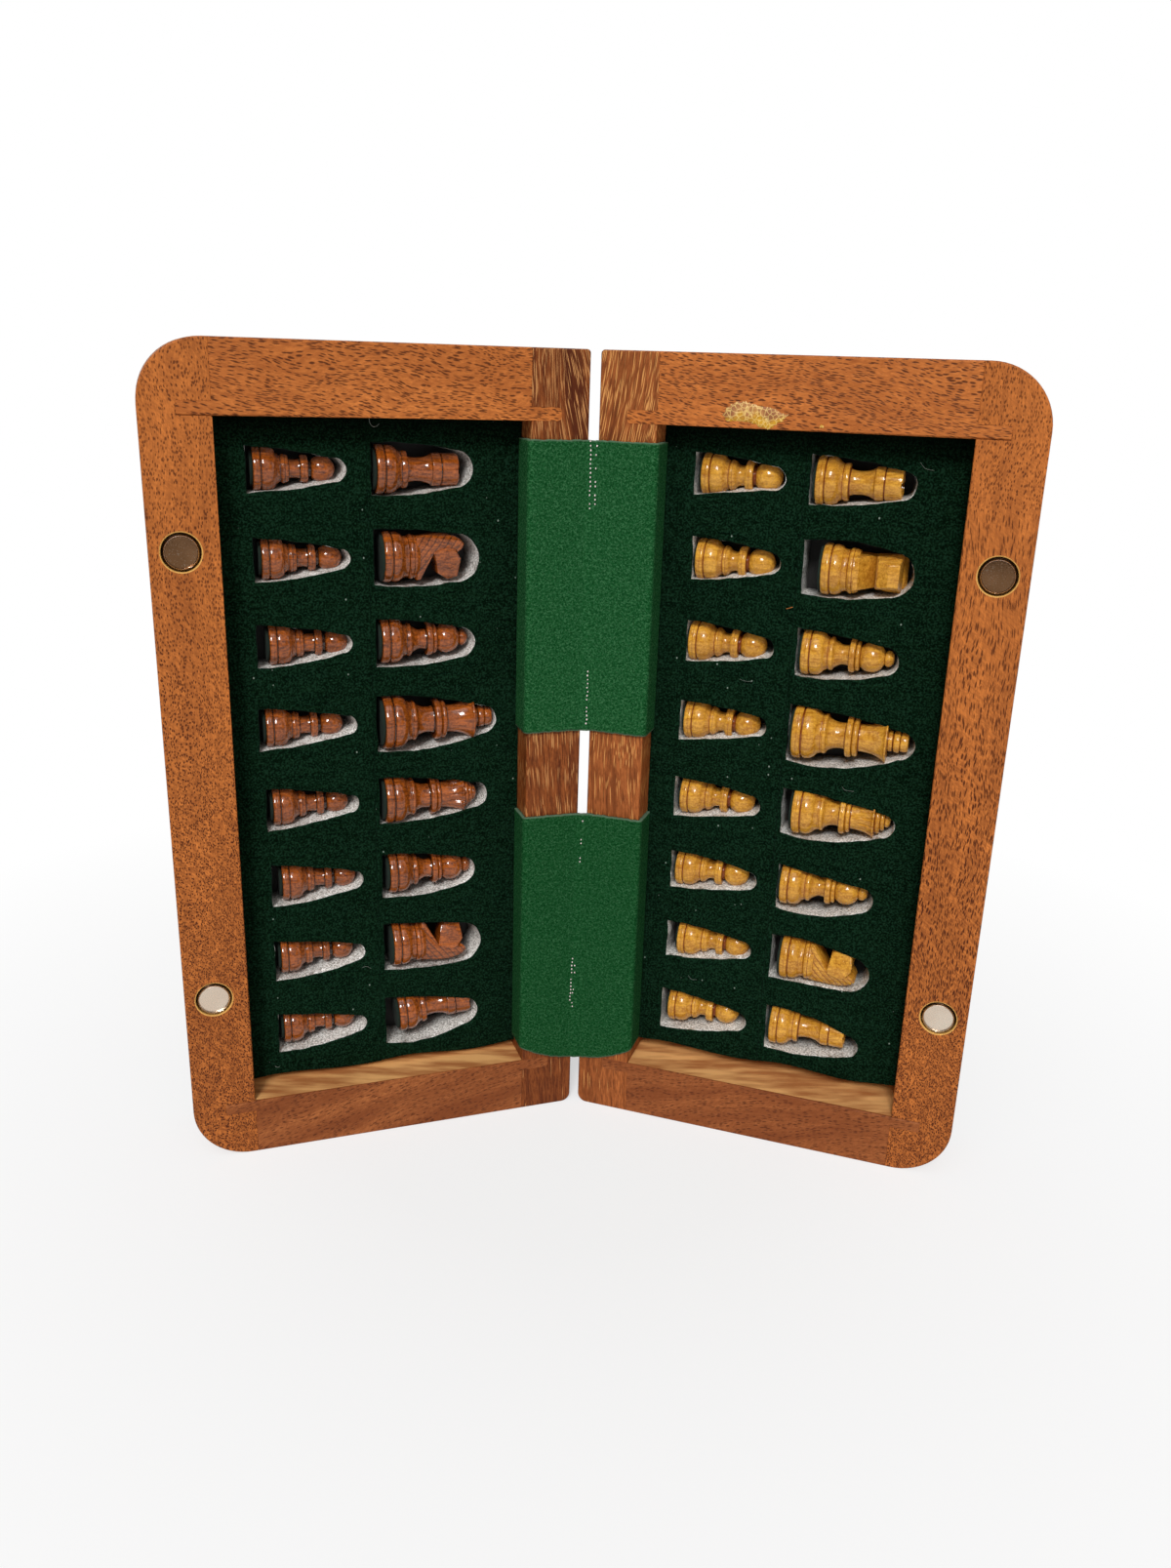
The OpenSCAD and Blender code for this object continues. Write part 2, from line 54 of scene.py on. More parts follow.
# Viewpoint. The camera stands in front of the open box and looks a little down on it, as in the
# photograph of 1200 by 1607 pixels. Its focal length was found in pixels.
PHOTO_H, FOCAL_PX = 1607, 1280.39
camera_data = bpy.data.cameras.new("viewpoint")
camera_data.sensor_fit = "VERTICAL"
camera_data.sensor_height = 36
camera_data.lens = FOCAL_PX / PHOTO_H * camera_data.sensor_height
camera_data.clip_start = 0.01
camera = bpy.data.objects.new("viewpoint", camera_data)
camera.location = (-0.00229, -0.26662, 0.17557)
camera.rotation_euler = [math.radians(a) for a in (71.3109, -1.6937, -0.0271)]
scene.collection.objects.link(camera)
scene.camera = camera

# Trays. Each of the two like trays is drawn flat in millimetres: x from its spine edge outward, y from
# the rim into the tray, z up from its foot. The case opens to -X and the lid to +X.
TRAY_W, TRAY_H = 89.4, 178
OUTER_W, SPINE_W, TOP_W, FOOT_W = 13.6, 12.6, 14.3, 13.4
RAIL_D = 16
HALF_GAP, FOLD_OUT = 0.7, 0.95
LEAN = math.radians(18.7)
FOLD = Vector(next(j for j in frame["joints"] if j["name"] == "lid_hinge")["pos_m"])
SIDES = {"case": -1, "lid": 1}


def tray_place(side):
    """From the drawing of a tray, in millimetres, to its place in the box, in metres."""
    fold = Matrix.Translation((0, FOLD.y, 0)) @ Matrix.Rotation(-side * LEAN, 4, "Z")
    drawn = Matrix.Translation((side * HALF_GAP, FOLD_OUT, 0)) @ Matrix.Diagonal((side, 1, 1, 1))
    return fold @ Matrix.Scale(0.001, 4) @ drawn


def well_place(side):
    """From a well's drawing, x counted from the wall at its left, to the box."""
    start = SPINE_W if side > 0 else OUTER_W - TRAY_W
    return tray_place(side) @ Matrix.Diagonal((side, 1, 1, 1)) @ Matrix.Translation((start, 0, 0))


def piece_of(bm, name, body, materials, smooth=30):
    """A finished piece that rides on its body. Edges sharper than the angle stay crisp."""
    mesh = bpy.data.meshes.new(name)
    bm.to_mesh(mesh)
    bm.free()
    mesh.shade_smooth()
    mesh.set_sharp_from_angle(angle=math.radians(smooth))
    piece = bpy.data.objects.new(name, mesh)
    scene.collection.objects.link(piece)
    for material in materials:
        mesh.materials.append(material)
    if body:
        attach(piece, body)
    return piece


def tone(r, g, b):
    """A colour as it shows on a screen, made linear."""
    return [((c / 255 + 0.055) / 1.055) ** 2.4 if c > 10 else c / 255 / 12.92 for c in (r, g, b)] + [1]


def put(tree, kind, inputs=(), **settings):
    """A shader node with its sockets set, or joined to the outputs of other nodes."""
    made = tree.nodes.new("ShaderNode" + kind)
    for setting, value in settings.items():
        setattr(made, setting, value)
    for socket, value in dict(inputs).items():
        if isinstance(value, bpy.types.NodeSocket):
            tree.links.new(value, made.inputs[socket])
        else:
            made.inputs[socket].default_value = value
    return made


def blended(tree, share, a, b):
    """Two colours mixed by a share from 0 to 1."""
    return put(tree, "Mix", {0: share, 6: a, 7: b}, data_type="RGBA").outputs[2]


def ramped(tree, value, low, high, to_low=0.0, to_high=1.0):
    """A value taken from one range to another."""
    sockets = {"Value": value, "From Min": low, "From Max": high, "To Min": to_low, "To Max": to_high}
    return put(tree, "MapRange", sockets).outputs["Result"]


def sums(tree, how, a, b=0.0):
    return put(tree, "Math", {0: a, 1: b}, operation=how).outputs[0]


def stretched(tree, vector, scale):
    return put(tree, "VectorMath", {0: vector, 1: scale}, operation="MULTIPLY").outputs[0]


def object_point(tree):
    return put(tree, "TexCoord").outputs["Object"]


def speckle(tree, scale, vector=None, **more):
    """A noise's value over the object. The scale is one number, or a number for each axis."""
    vector = vector or object_point(tree)
    if isinstance(scale, tuple):
        vector, scale = stretched(tree, vector, scale), 1.0
    return put(tree, "TexNoise", {"Vector": vector, "Scale": scale, **more}).outputs["Fac"]


def painted(tree, layer):
    """A value kept on the mesh's own vertices."""
    return put(tree, "Attribute", attribute_name=layer).outputs["Fac"]


def parted(tree, vector):
    return put(tree, "SeparateXYZ", {0: vector}).outputs


def tinted(tree, colour, other, value, low=0.0, high=1.0, most=1.0):
    """The colour, turned towards the other as the value goes from low to high."""
    return blended(tree, ramped(tree, value, low, high, 0.0, most), colour, tone(*other))


def new_group(name, takes, gives):
    """A shader node group: takes are (socket, kind, value), gives are (socket, kind)."""
    tree = bpy.data.node_groups.new(name, "ShaderNodeTree")
    for socket, kind, value in takes:
        made = tree.interface.new_socket(socket, in_out="INPUT", socket_type="NodeSocket" + kind)
        if value is not None:
            made.default_value = value
    for socket, kind in gives:
        tree.interface.new_socket(socket, in_out="OUTPUT", socket_type="NodeSocket" + kind)
    return tree, tree.nodes.new("NodeGroupInput").outputs, tree.nodes.new("NodeGroupOutput").inputs


def placed_in(tree, place):
    """Object coordinates, turned and moved by the place, in millimetres."""
    sockets = {"Vector": object_point(tree), "Location": place.to_translation(), "Rotation": place.to_euler()}
    turned = put(tree, "Mapping", sockets).outputs["Vector"]
    return put(tree, "VectorMath", {0: turned, "Scale": 1000}, operation="SCALE").outputs[0]


def drawing_place(side):
    """From the box back to the drawing of a tray, still in metres, with the case not mirrored."""
    fold = Matrix.Translation((0, FOLD.y, 0)) @ Matrix.Rotation(-side * LEAN, 4, "Z")
    return (fold @ Matrix.Translation((side * HALF_GAP / 1000, FOLD_OUT / 1000, 0))).inverted()


def finish_named(name, **plain):
    """A new material with constant values on the shader's own sockets, its tree and its shader."""
    material = bpy.data.materials.new(name)
    material.use_nodes = True
    shader = material.node_tree.nodes["Principled BSDF"]
    for socket, value in plain.items():
        shader.inputs[socket.replace("_", " ")].default_value = value
    return material, material.node_tree, shader


def dressed(tree, shader, colour, roughness=None, bump=None):
    """Joins a colour to the shader, and a roughness and a bump: its height, strength and distance."""
    tree.links.new(colour, shader.inputs["Base Color"])
    if roughness:
        tree.links.new(roughness, shader.inputs["Roughness"])
    if bump:
        made = put(tree, "Bump", dict(zip(("Height", "Strength", "Distance"), bump)))
        tree.links.new(made.outputs[0], shader.inputs["Normal"])


def mottled(name, roughness, scale, one, other):
    """A finish of two colours, mixed by one noise."""
    material, tree, shader = finish_named(name, Roughness=roughness)
    dressed(tree, shader, blended(tree, speckle(tree, scale), tone(*one), tone(*other)))
    return material


# Sheesham figure: bands of darker growth, fine fibre, short open pores, ripples across the grain and
# long pale vessels. The grain runs along the drawing's x.
figure, take, give = new_group("sheesham_figure", [
    ("Vector", "Vector", None), ("Pale", "Color", tone(186, 112, 60)), ("Deep", "Color", tone(140, 76, 36)),
    ("Pore", "Color", tone(84, 38, 14)), ("Vessel", "Color", tone(206, 138, 70)),
    ("Bands", "Float", 0.5), ("Fibre", "Float", 0.5), ("Lines", "Float", 0.3), ("Pores", "Float", 0.6),
    ("Pore length", "Float", 0.8), ("Vessels", "Float", 0.0), ("Waviness", "Float", 1.0),
    ("Ripple", "Float", 0.3), ("Ripple turn", "Float", 0.8), ("Heart", "Float", 0.0)],
    [("Color", "Color"), ("Roughness", "Float"), ("Height", "Float")])
drift = put(figure, "TexNoise", {"Vector": stretched(figure, take["Vector"], (0.035, 0.08, 0.08)),
                                 "Scale": 1.0, "Detail": 2.0})
sway = put(figure, "VectorMath", {0: drift.outputs["Color"], 1: (0.5, 0.5, 0.5)}, operation="SUBTRACT")
sway = put(figure, "VectorMath", {0: sway.outputs[0], "Scale": take["Waviness"]}, operation="SCALE")
sway = stretched(figure, sway.outputs[0], (0.0, 7.0, 7.0))
swayed = put(figure, "VectorMath", {0: take["Vector"], 1: sway}, operation="ADD").outputs[0]


def figure_noise(scale, low, high, vector=swayed, **more):
    """Noise stretched along the grain, taken from low..high to 0..1. The scale is in waves per millimetre."""
    made = put(figure, "TexNoise", {"Vector": stretched(figure, vector, scale), "Scale": 1.0, **more})
    return ramped(figure, made.outputs["Fac"], low, high)


def figure_cells(scale, far, close, share):
    """Long cells along the grain, a share of them with a spindle at the middle."""
    cells = put(figure, "TexVoronoi", {"Vector": stretched(figure, swayed, scale), "Scale": 1.0})
    pick = put(figure, "SeparateColor", {0: cells.outputs["Color"]}).outputs[0]
    spindle = ramped(figure, cells.outputs["Distance"], far, close)
    return sums(figure, "MULTIPLY", spindle, sums(figure, "LESS_THAN", pick, share))


growth_share = figure_noise((0.016, 0.16, 0.16), 0.36, 0.64, Detail=3.0, Roughness=0.6)
fibre_share = figure_noise((0.34, 2.7, 2.7), 0.36, 0.64, Detail=3.0, Roughness=0.75)
line_share = figure_noise((0.02, 1.2, 1.2), 0.52, 0.68, Detail=2.0)
across_grain = put(figure, "VectorRotate", {"Vector": swayed, "Angle": take["Ripple turn"]}, rotation_type="Y_AXIS")
ripple_share = figure_noise((0.6, 2.1, 2.1), 0.42, 0.6, across_grain.outputs[0], Detail=2.0, Distortion=0.8)
base = take["Pale"]
for share, amount in ((growth_share, "Bands"), (line_share, "Lines"), (fibre_share, "Fibre"),
                      (ripple_share, "Ripple")):
    base = blended(figure, sums(figure, "MULTIPLY", share, take[amount]), base, take["Deep"])
base = blended(figure, take["Heart"], base, take["Deep"])
vessel = figure_cells((0.12, 4.4, 4.4), 0.44, 0.28, take["Vessels"])
base = blended(figure, sums(figure, "MULTIPLY", vessel, 0.9), base, take["Vessel"])
along = put(figure, "CombineXYZ", {0: sums(figure, "DIVIDE", 1.0, take["Pore length"]), 1: 3.3, 2: 3.3})
pore = figure_cells(along.outputs[0], 0.48, 0.31, take["Pores"])
pore = sums(figure, "MULTIPLY", pore, ramped(figure, take["Ripple"], 0.0, 0.5, 0.55, 0.95))
base = blended(figure, pore, base, take["Pore"])
figure.links.new(base, give["Color"])
figure.links.new(ramped(figure, fibre_share, 0.0, 1.0, 0.42, 0.56), give["Roughness"])
hollow = sums(figure, "MULTIPLY", pore, -1.0)
figure.links.new(sums(figure, "ADD", hollow, sums(figure, "MULTIPLY", fibre_share, 0.3)), give["Height"])


def sheesham(name, side, grain, shift, figured, roughness_up=0.0, spread=None):
    """One board's finish: the side it belongs to, the way its grain runs, and where it was cut. A pair
    of values is for the top and the foot. spread leans the streaks near the top: from x, to x, slope,
    and the middle and width of a dark heart."""
    material, tree, shader = finish_named(name, Specular_IOR_Level=0.15)
    turn = {"z": Matrix.Rotation(math.radians(90), 4, "Y"), "x": Matrix.Identity(4)}[grain[0]]
    skew = Matrix.Rotation(math.radians(float(grain[1:] or 0)), 4, "Y")
    vector = placed_in(tree, Matrix.Translation(shift) @ skew @ turn @ drawing_place(side))
    at = parted(tree, object_point(tree))
    wood = put(tree, "Group", node_tree=figure)
    if spread:
        x_from, x_to, slope, heart, heart_w = spread
        lean = sums(tree, "MULTIPLY", ramped(tree, at["Z"], 0.15, 0.18, 0.0, 30 * slope),
                    ramped(tree, at["X"], x_from, x_to))
        leaned = put(tree, "CombineXYZ", {"Z": lean}).outputs[0]
        vector = put(tree, "VectorMath", {0: vector, 1: leaned}, operation="ADD").outputs[0]
        if heart_w:
            upright = sums(tree, "SUBTRACT", sums(tree, "MULTIPLY", at["X"], 1000.0), lean)
            off = sums(tree, "ABSOLUTE", sums(tree, "SUBTRACT", upright, heart))
            dark = ramped(tree, off, heart_w, heart_w * 0.5, 0.0, 0.8)
            tree.links.new(sums(tree, "MULTIPLY", dark, ramped(tree, at["Z"], 0.13, 0.155)), wood.inputs["Heart"])
    tree.links.new(vector, wood.inputs["Vector"])
    for socket, value in figured.items():
        if isinstance(value, tuple) and len(value) == 2:
            tree.links.new(ramped(tree, at["Z"], 0.15, 0.04, *value), wood.inputs[socket])
        else:
            wood.inputs[socket].default_value = tone(*value) if isinstance(value, tuple) else value
    roughness = sums(tree, "ADD", wood.outputs["Roughness"], roughness_up)
    dressed(tree, shader, wood.outputs["Color"], roughness, (wood.outputs["Height"], 0.4, 0.0001))
    return material

# Frame. Four sheesham rails to a tray: two long ones, and two short ones let into them with tongues.
# The glued seams are planed flush, and the free edges are broken with sandpaper.
def merged(node):
    """A copy of a CAD node's mesh, its loose triangles merged into plain faces."""
    bm = bmesh.new()
    bm.from_mesh(frame["nodes"][node].data)
    bmesh.ops.remove_doubles(bm, verts=bm.verts, dist=2e-6)
    bmesh.ops.dissolve_limit(bm, angle_limit=math.radians(1), verts=bm.verts, edges=bm.edges)
    return bm


def bevel(bm, edges, width, segments=2, clamped=False):
    bmesh.ops.bevel(bm, geom=edges, offset=width, offset_type="OFFSET", affect="EDGES",
                    segments=segments, profile=0.5, material=-1, clamp_overlap=clamped)


def break_edges(bm, width, chosen, segments=2):
    """Bevels the sharp edges whose middle is chosen."""
    bevel(bm, [e for e in bm.edges if e.is_manifold and e.calc_face_angle(0) > math.radians(30)
               and chosen((e.verts[0].co + e.verts[1].co) / 2)], width, segments)


MAGNETS = [Vector((TRAY_W - 6.2, 0, z)) for z in (40.4, 138)]


def from_magnet(drawn):
    """How far a point of a tray's drawing is from the middle of the nearer magnet."""
    return min((Vector((drawn.x, drawn.z)) - Vector((m.x, m.z))).length for m in MAGNETS)


WOODS = {
    "outer": ("z", {"Pale": (212, 124, 56), "Deep": (118, 60, 24), "Pore": (72, 28, 8), "Bands": 0.35,
                    "Fibre": (0.45, 0.6), "Lines": (0.3, 0.2), "Pores": (0.65, 1.0), "Pore length": (0.85, 0.6),
                    "Ripple": (0.28, 0.65)}),
    "spine": ("z3", {"Pale": (160, 88, 40), "Deep": (72, 26, 6), "Vessel": (206, 146, 88), "Bands": 0.5,
                     "Waviness": 0.4, "Fibre": 0.75, "Lines": 0.7, "Pores": 0.3, "Pore length": 5.0,
                     "Vessels": (0.9, 0.05), "Ripple": 0.1}),
    "top": ("x-9", {"Pale": (212, 126, 60), "Deep": (136, 68, 26), "Pore": (62, 22, 6), "Bands": 0.35,
                  "Fibre": 0.5, "Lines": 0.25, "Pores": 0.8, "Pore length": 1.8, "Vessels": 0.0, "Ripple": 0.35,
                  "Ripple turn": 0.3}),
    "bottom": ("x14", {"Pale": (174, 104, 56), "Deep": (116, 58, 26), "Bands": 0.75, "Fibre": 0.6,
                       "Pores": 0.5, "Pore length": 1.4, "Ripple": 0.35}),
}
# The streaks of both spine rails lean towards the fold at the top, and the case's rail shows dark heart.
SPREAD = {"case": (-0.010, -0.006, -0.2, -0.4, 2.8), "lid": (-0.002, -0.001, 0.2, 0.0, 0.0)}
raw_wood = mottled("raw_bore_wood", 0.8, 2500.0, (190, 128, 50), (240, 190, 104))
dry_wall, tree, shader = finish_named("unfinished_wall", Roughness=0.75)
streak = speckle(tree, (70.0, 400.0, 400.0), Detail=4.0)
dressed(tree, shader, tinted(tree, tone(230, 172, 106), (170, 106, 54), streak, 0.38, 0.62))

for body, side in SIDES.items():
    place = tray_place(side)
    back = place.inverted()
    parts = {k: merged(f"{body}_{k}_rail") for k in WOODS}
    parts["panel"] = merged(f"{body}_board_panel")
    faces = {k: BVHTree.FromBMesh(bm) for k, bm in parts.items()}
    parts.pop("panel").free()
    for kind, bm in parts.items():
        others = [t for k, t in faces.items() if k != kind]
        seam = lambda p: any(t.find_nearest(p)[3] < 3e-5 for t in others)
        bore = lambda p: from_magnet(back @ p) < 4.2
        break_edges(bm, 0.00026, bore)
        break_edges(bm, 0.0004, lambda p: not seam(p) and not bore(p), 3)
        break_edges(bm, 0.00006, seam, 1)
        for f in bm.faces:
            middle = f.calc_center_median()
            drawn = back @ middle
            if bore(middle) and 0.005 < drawn.y < 3.3:
                f.material_index = 1
            if kind == "bottom" and drawn.z > FOOT_W - 0.02 and drawn.y > 0.4:
                f.material_index = 2
        grain, figured = WOODS[kind]
        if (body, kind) == ("lid", "spine"):
            figured = figured | {"Pale": (182, 104, 52), "Deep": (104, 50, 18), "Vessel": (220, 156, 88)}
        wood = sheesham(f"{body}_{kind}_sheesham", side, grain, (0.11 * side, 0.03 * len(kind), 0.05 * side),
                        figured, spread=SPREAD[body] if kind == "spine" else None)
        rail = piece_of(bm, f"{body}_{kind}_rail_wood", body, [wood, raw_wood, dry_wall], 40)
        rail.modifiers.new("flat faces", "WEIGHTED_NORMAL").keep_sharp = True
        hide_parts(f"{body}_{kind}_rail")

# Board. A plywood panel closes each tray, a steel sheet is let into its back, and dark veneer with
# sixteen light squares let into it makes half of the playing board.
# The panel is painted nearly black: painted shade on the slot floors seen through the foam.
plywood = mottled("plywood_painted_slot_shade", 0.6, (900.0, 900.0, 60.0), (8, 6, 4), (18, 13, 9))
steel, tree, shader = finish_named("rolled_steel", Metallic=1.0)
rolled = speckle(tree, (3000.0, 3000.0, 90.0))
dressed(tree, shader, blended(tree, rolled, tone(120, 124, 128), tone(160, 163, 166)),
        ramped(tree, rolled, 0.0, 1.0, 0.3, 0.5))

for body, side in SIDES.items():
    dark = sheesham(f"{body}_dark_veneer", side, "z", (0.2, 0.31 * side, 0.1), dict(
        Pale=(100, 58, 34), Deep=(58, 30, 16), Pore=(30, 14, 8), Bands=0.7, Fibre=0.5,
        Pores=0.2, Vessels=0.0), -0.1)
    light = sheesham(f"{body}_light_veneer", side, "z", (0.4, 0.27, 0.3 * side), dict(
        Pale=(226, 190, 134), Deep=(196, 152, 96), Pore=(150, 104, 60), Bands=0.5, Fibre=0.4,
        Pores=0.1, Vessels=0.0), -0.1)
    for node, material in (("board_panel", plywood), ("steel_sheet", steel), ("board_veneer", dark),
                           ("light_squares", light)):
        mesh = frame["nodes"][f"{body}_{node}"].data
        mesh.materials.clear()
        mesh.materials.append(material)

# Magnets. Nickel-plated discs glued into the outer rims. Their colour is a painted reflection: dark taupe on the
# upper pair, near white on the lower pair.
def nickel(name, dull, bright, low, high, ring):
    """The plating's painted reflection, hazed between the tones dull and bright, with specks, a painted highlight
    ring near the rim as strong as ring, and a darker very edge.
    """
    material, tree, shader = finish_named(name, Metallic=1.0)
    haze = speckle(tree, 160.0)
    speck = speckle(tree, 3500.0)
    hazed = blended(tree, ramped(tree, haze, 0.4, 0.6), dull, bright)
    flecked = tinted(tree, hazed, (226, 214, 196), speck, 0.6, 0.75, 0.3)
    rim = painted(tree, "from_middle")
    # Painted highlight: a pale ring near the rim of each disc.
    painted_ring_highlight = sums(tree, "MULTIPLY", ramped(tree, rim, 2.95, 3.1), ramped(tree, rim, 3.42, 3.3))
    ring_highlighted = blended(tree, sums(tree, "MULTIPLY", painted_ring_highlight, ring), flecked, tone(226, 206, 194))
    dressed(tree, shader, tinted(tree, ring_highlighted, (60, 44, 34), rim, 3.42, 3.52),
            ramped(tree, speck, 0.3, 0.7, low, high))
    return material


# Two copies of the plating with painted reflections: dark brown for the upper discs, bright for the lower discs.
dull_nickel = nickel("dull_nickel", tone(125, 91, 62), tone(138, 102, 72), 0.24, 0.34, 0.85)
nickel_painted_bright_reflection = nickel("nickel_painted_bright_reflection", tone(248, 228, 206), tone(254, 238, 218), 0.24, 0.34, 0.5)
for body, side in SIDES.items():
    bm = merged(f"{body}_magnets")
    break_edges(bm, 0.00022, lambda p: True, 3)
    back = tray_place(side).inverted()
    faces = [f for f in bm.faces if (back @ f.calc_center_median()).y < 0.3]
    for _ in range(3):
        bmesh.ops.inset_region(bm, faces=faces, thickness=0.0006, use_even_offset=True)
    layer = bm.verts.layers.float.new("from_middle")
    for v in bm.verts:
        v[layer] = from_magnet(back @ v.co)
    for f in bm.faces:
        # The lower discs take the bright painted reflection, the upper discs the dark one.
        f.material_index = int(f.calc_center_median().z < 0.09)
    discs = piece_of(bm, f"{body}_magnet_discs", body, [dull_nickel, nickel_painted_bright_reflection], 40)
    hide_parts(f"{body}_magnets")

# Inserts. Two strips of grey foam in each tray, faced with dark green velvet. Each slot is stamped
# square at the base end and round at the tip, and the velvet rolls over its edge into the foam.
WELL_W = TRAY_W - OUTER_W - SPINE_W
RECESS, VELVET_T, SOFT_R, SIDE_R = 7.0, 0.6, 0.35, 0.12
ROW_PITCH, ROWS_UP = 18.15, 1.1
FOAM_BACK = RAIL_D - 0.05
PAWN_STRIP_W, SEAM_GAP = 30.2, 0.06
ACROSS, UP = 32, 18
# Each slot from the top row down: x of its base end and of its tip, then the height of its lower side
# and of its upper side at the base end, halfway and where the round tip starts, from the row's middle.
SLOTS = {
    "case": {
        "pawn": [(6.1, 26.2, -4.6, -3.9, -2.4, 4.6, 3.7, 2.2), (6.8, 26.4, -4.5, -3.9, -2.1, 4.6, 3.7, 2.1),
                 (6.5, 26.3, -4.5, -3.8, -2, 4.7, 3.8, 2.2), (5.9, 26.8, -4.5, -3.7, -1.9, 5.0, 4, 2.3),
                 (6.6, 26.7, -4.8, -3.8, -1.9, 5.0, 4.1, 2.3), (6.8, 27.2, -4.8, -4, -2.3, 5.2, 4, 2.2),
                 (6.7, 27, -5.1, -4.5, -2.5, 4.8, 3.8, 2.2), (6.5, 26.9, -5.4, -5, -2.9, 4.4, 3.3, 1.6)],
        "piece": [(31.1, 52.7, -5.2, -5, -3.6, 5.5, 5.3, 4), (31.3, 54.1, -5.7, -6.2, -5.4, 6, 5.8, 4.8),
                  (31.4, 53.1, -5.2, -5.3, -3.9, 5.2, 4.4, 2.8), (31.1, 58, -6.2, -6.3, -3.6, 6.4, 5.4, 2.9),
                  (31.3, 56.1, -5.3, -4.9, -3.1, 5.7, 4.7, 3), (31.5, 53.2, -5.2, -5.5, -3.7, 5.3, 4.8, 3),
                  (31.5, 54.6, -5.6, -6.2, -5.8, 6.1, 5.6, 4.5), (31.5, 53.8, -6.9, -7.5, -4.7, 5.2, 4.3, 2.6)],
    },
    "lid": {
        "pawn": [(6.7, 26.3, -3.8, -2.8, -2, 5.0, 4.3, 2.8), (7.2, 26.5, -3.7, -2.9, -1.4, 5.6, 4.9, 3.4),
                 (7.1, 26.6, -3.7, -3, -1.5, 5.5, 4.7, 3.1), (6.5, 26.3, -3.9, -2.7, -1.1, 5.4, 4.8, 3.4),
                 (6.2, 26.3, -4.1, -3.3, -1.7, 5.4, 4.7, 3.1), (6.3, 26.8, -3.9, -3.3, -1.9, 5.3, 4.7, 2.9),
                 (6.3, 26.7, -3.8, -3, -1.4, 5.4, 4.8, 3.1), (5.9, 26.8, -5.1, -4.4, -2.6, 5.6, 4.6, 2.8)],
        "piece": [(31.3, 52.8, -4.3, -4, -2.5, 5.8, 5, 3.4), (31.2, 54.3, -4.8, -5.2, -4.2, 6.6, 6.8, 5.4),
                  (31.4, 53.1, -4.3, -4.6, -2.8, 6, 5.1, 3.6), (31.1, 58.4, -5.6, -6, -2.6, 7.2, 6, 3.8),
                  (31.1, 56.1, -4.7, -5.4, -2.8, 6, 4.9, 2.9), (31.6, 53.2, -4.9, -5.7, -3.4, 6, 4.4, 3),
                  (31.4, 54.2, -4.8, -5.1, -5, 6.3, 5.9, 3.8), (31.6, 53.5, -5.4, -5.5, -4.2, 6, 5.1, 1.8)],
    },
}


def hand_cut(x, z, seed, size=0.12):
    """The small unevenness of an edge that was cut and handled."""
    return noise.noise(Vector((x * 0.35, z * 0.35, seed))) * size * 2


def row_middle(i):
    """Height of a row's middle, counted from the top row down."""
    return FOOT_W + (TRAY_H - TOP_W - FOOT_W) / 2 + ROWS_UP + (3.5 - i) * ROW_PITCH


def side_height(t, ends):
    """Height of a slot's long side: it passes the three measured heights in one bow."""
    a, b, c = ends
    return a * (1 - t) * (1 - 2 * t) + b * 4 * t * (1 - t) + c * t * (2 * t - 1)


def slot_point(slot, j, seed):
    """Point j of a slot's outline, counted up the base end, along the top, round the tip and back."""
    x0, x1 = slot[:2]
    low, high = slot[2:5], slot[5:8]
    tip = (high[2] - low[2]) / 2
    start = x1 - tip
    if j < UP:
        x, z = x0, low[0] + (high[0] - low[0]) * j / UP
    elif j < UP + ACROSS:
        t = (j - UP) / ACROSS
        x, z = x0 + (start - x0) * t, side_height(t, high)
    elif j < 2 * UP + ACROSS:
        a = math.pi * (j - UP - ACROSS) / UP
        x, z = start + tip * math.sin(a), (low[2] + high[2]) / 2 + tip * math.cos(a)
    else:
        t = 1 - (j - 2 * UP - ACROSS) / ACROSS
        x, z = x0 + (start - x0) * t, side_height(t, low)
    return Vector((x + hand_cut(x, z, seed), 0, z + hand_cut(x, z, seed + 9)))


def wall_slope(slot, x, j):
    """How far the foam leans into the slot at its floor: most below the tip, none along the top."""
    t = (x - slot[0]) / (slot[1] - slot[0])
    along_top = (j - UP) / ACROSS
    share = 0.6 * max(0.0, along_top - 0.6) / 0.4 if j < UP + ACROSS else min(1.0, 0.6 + (j - UP - ACROSS) / UP)
    return share * (0.15 + 1.15 * max(0.0, min(1.0, (t - 0.12) / 0.4)) ** 1.5)


def cell_point(cell, j, grown):
    """Point j of the velvet field round a slot, with the outer sides of the strip let out by grown."""
    x0, x1, foot, top, is_first, is_last, foot_line = cell
    if j < UP:
        x, t = x0, j / UP
    elif j < UP + ACROSS:
        x, t = x0 + (x1 - x0) * (j - UP) / ACROSS, 1
    elif j < 2 * UP + ACROSS:
        x, t = x1, 1 - (j - UP - ACROSS) / UP
    else:
        x, t = x1 - (x1 - x0) * (j - 2 * UP - ACROSS) / ACROSS, 0
    low = foot + (foot_line(x) if is_last else 0)
    z = low + (top - low) * t
    side = (x == x1) - (x == x0)
    lift = (is_first and t == 1) - (is_last and t == 0)
    return Vector((x + side * grown, 0, z + lift * grown))


def rim_edges(verts):
    """The edges with both ends among the vertices."""
    verts = set(verts)
    return [e for v in verts for e in v.link_edges if e.verts[0] in verts and e.verts[1] in verts]


def grow(bm, rim, at):
    """Extrudes an open rim and lays each new vertex at its own place. Gives the new rim."""
    made = bmesh.ops.extrude_edge_only(bm, edges=list(set(rim)))["geom"]
    verts = [g for g in made if isinstance(g, bmesh.types.BMVert)]
    for v in verts:
        v.co = at(v)
    return rim_edges(verts)


def puffed(x, z, near):
    """Depth of the velvet: it swells a little between the slots and dips towards them."""
    broad = noise.noise(Vector((x * 0.09, z * 0.09, 3.7))) * 0.22
    fine = noise.noise(Vector((x * 0.3, z * 0.25, 1.1))) * 0.07
    return RECESS + (broad + fine) * (1 - near) + 0.12 * near


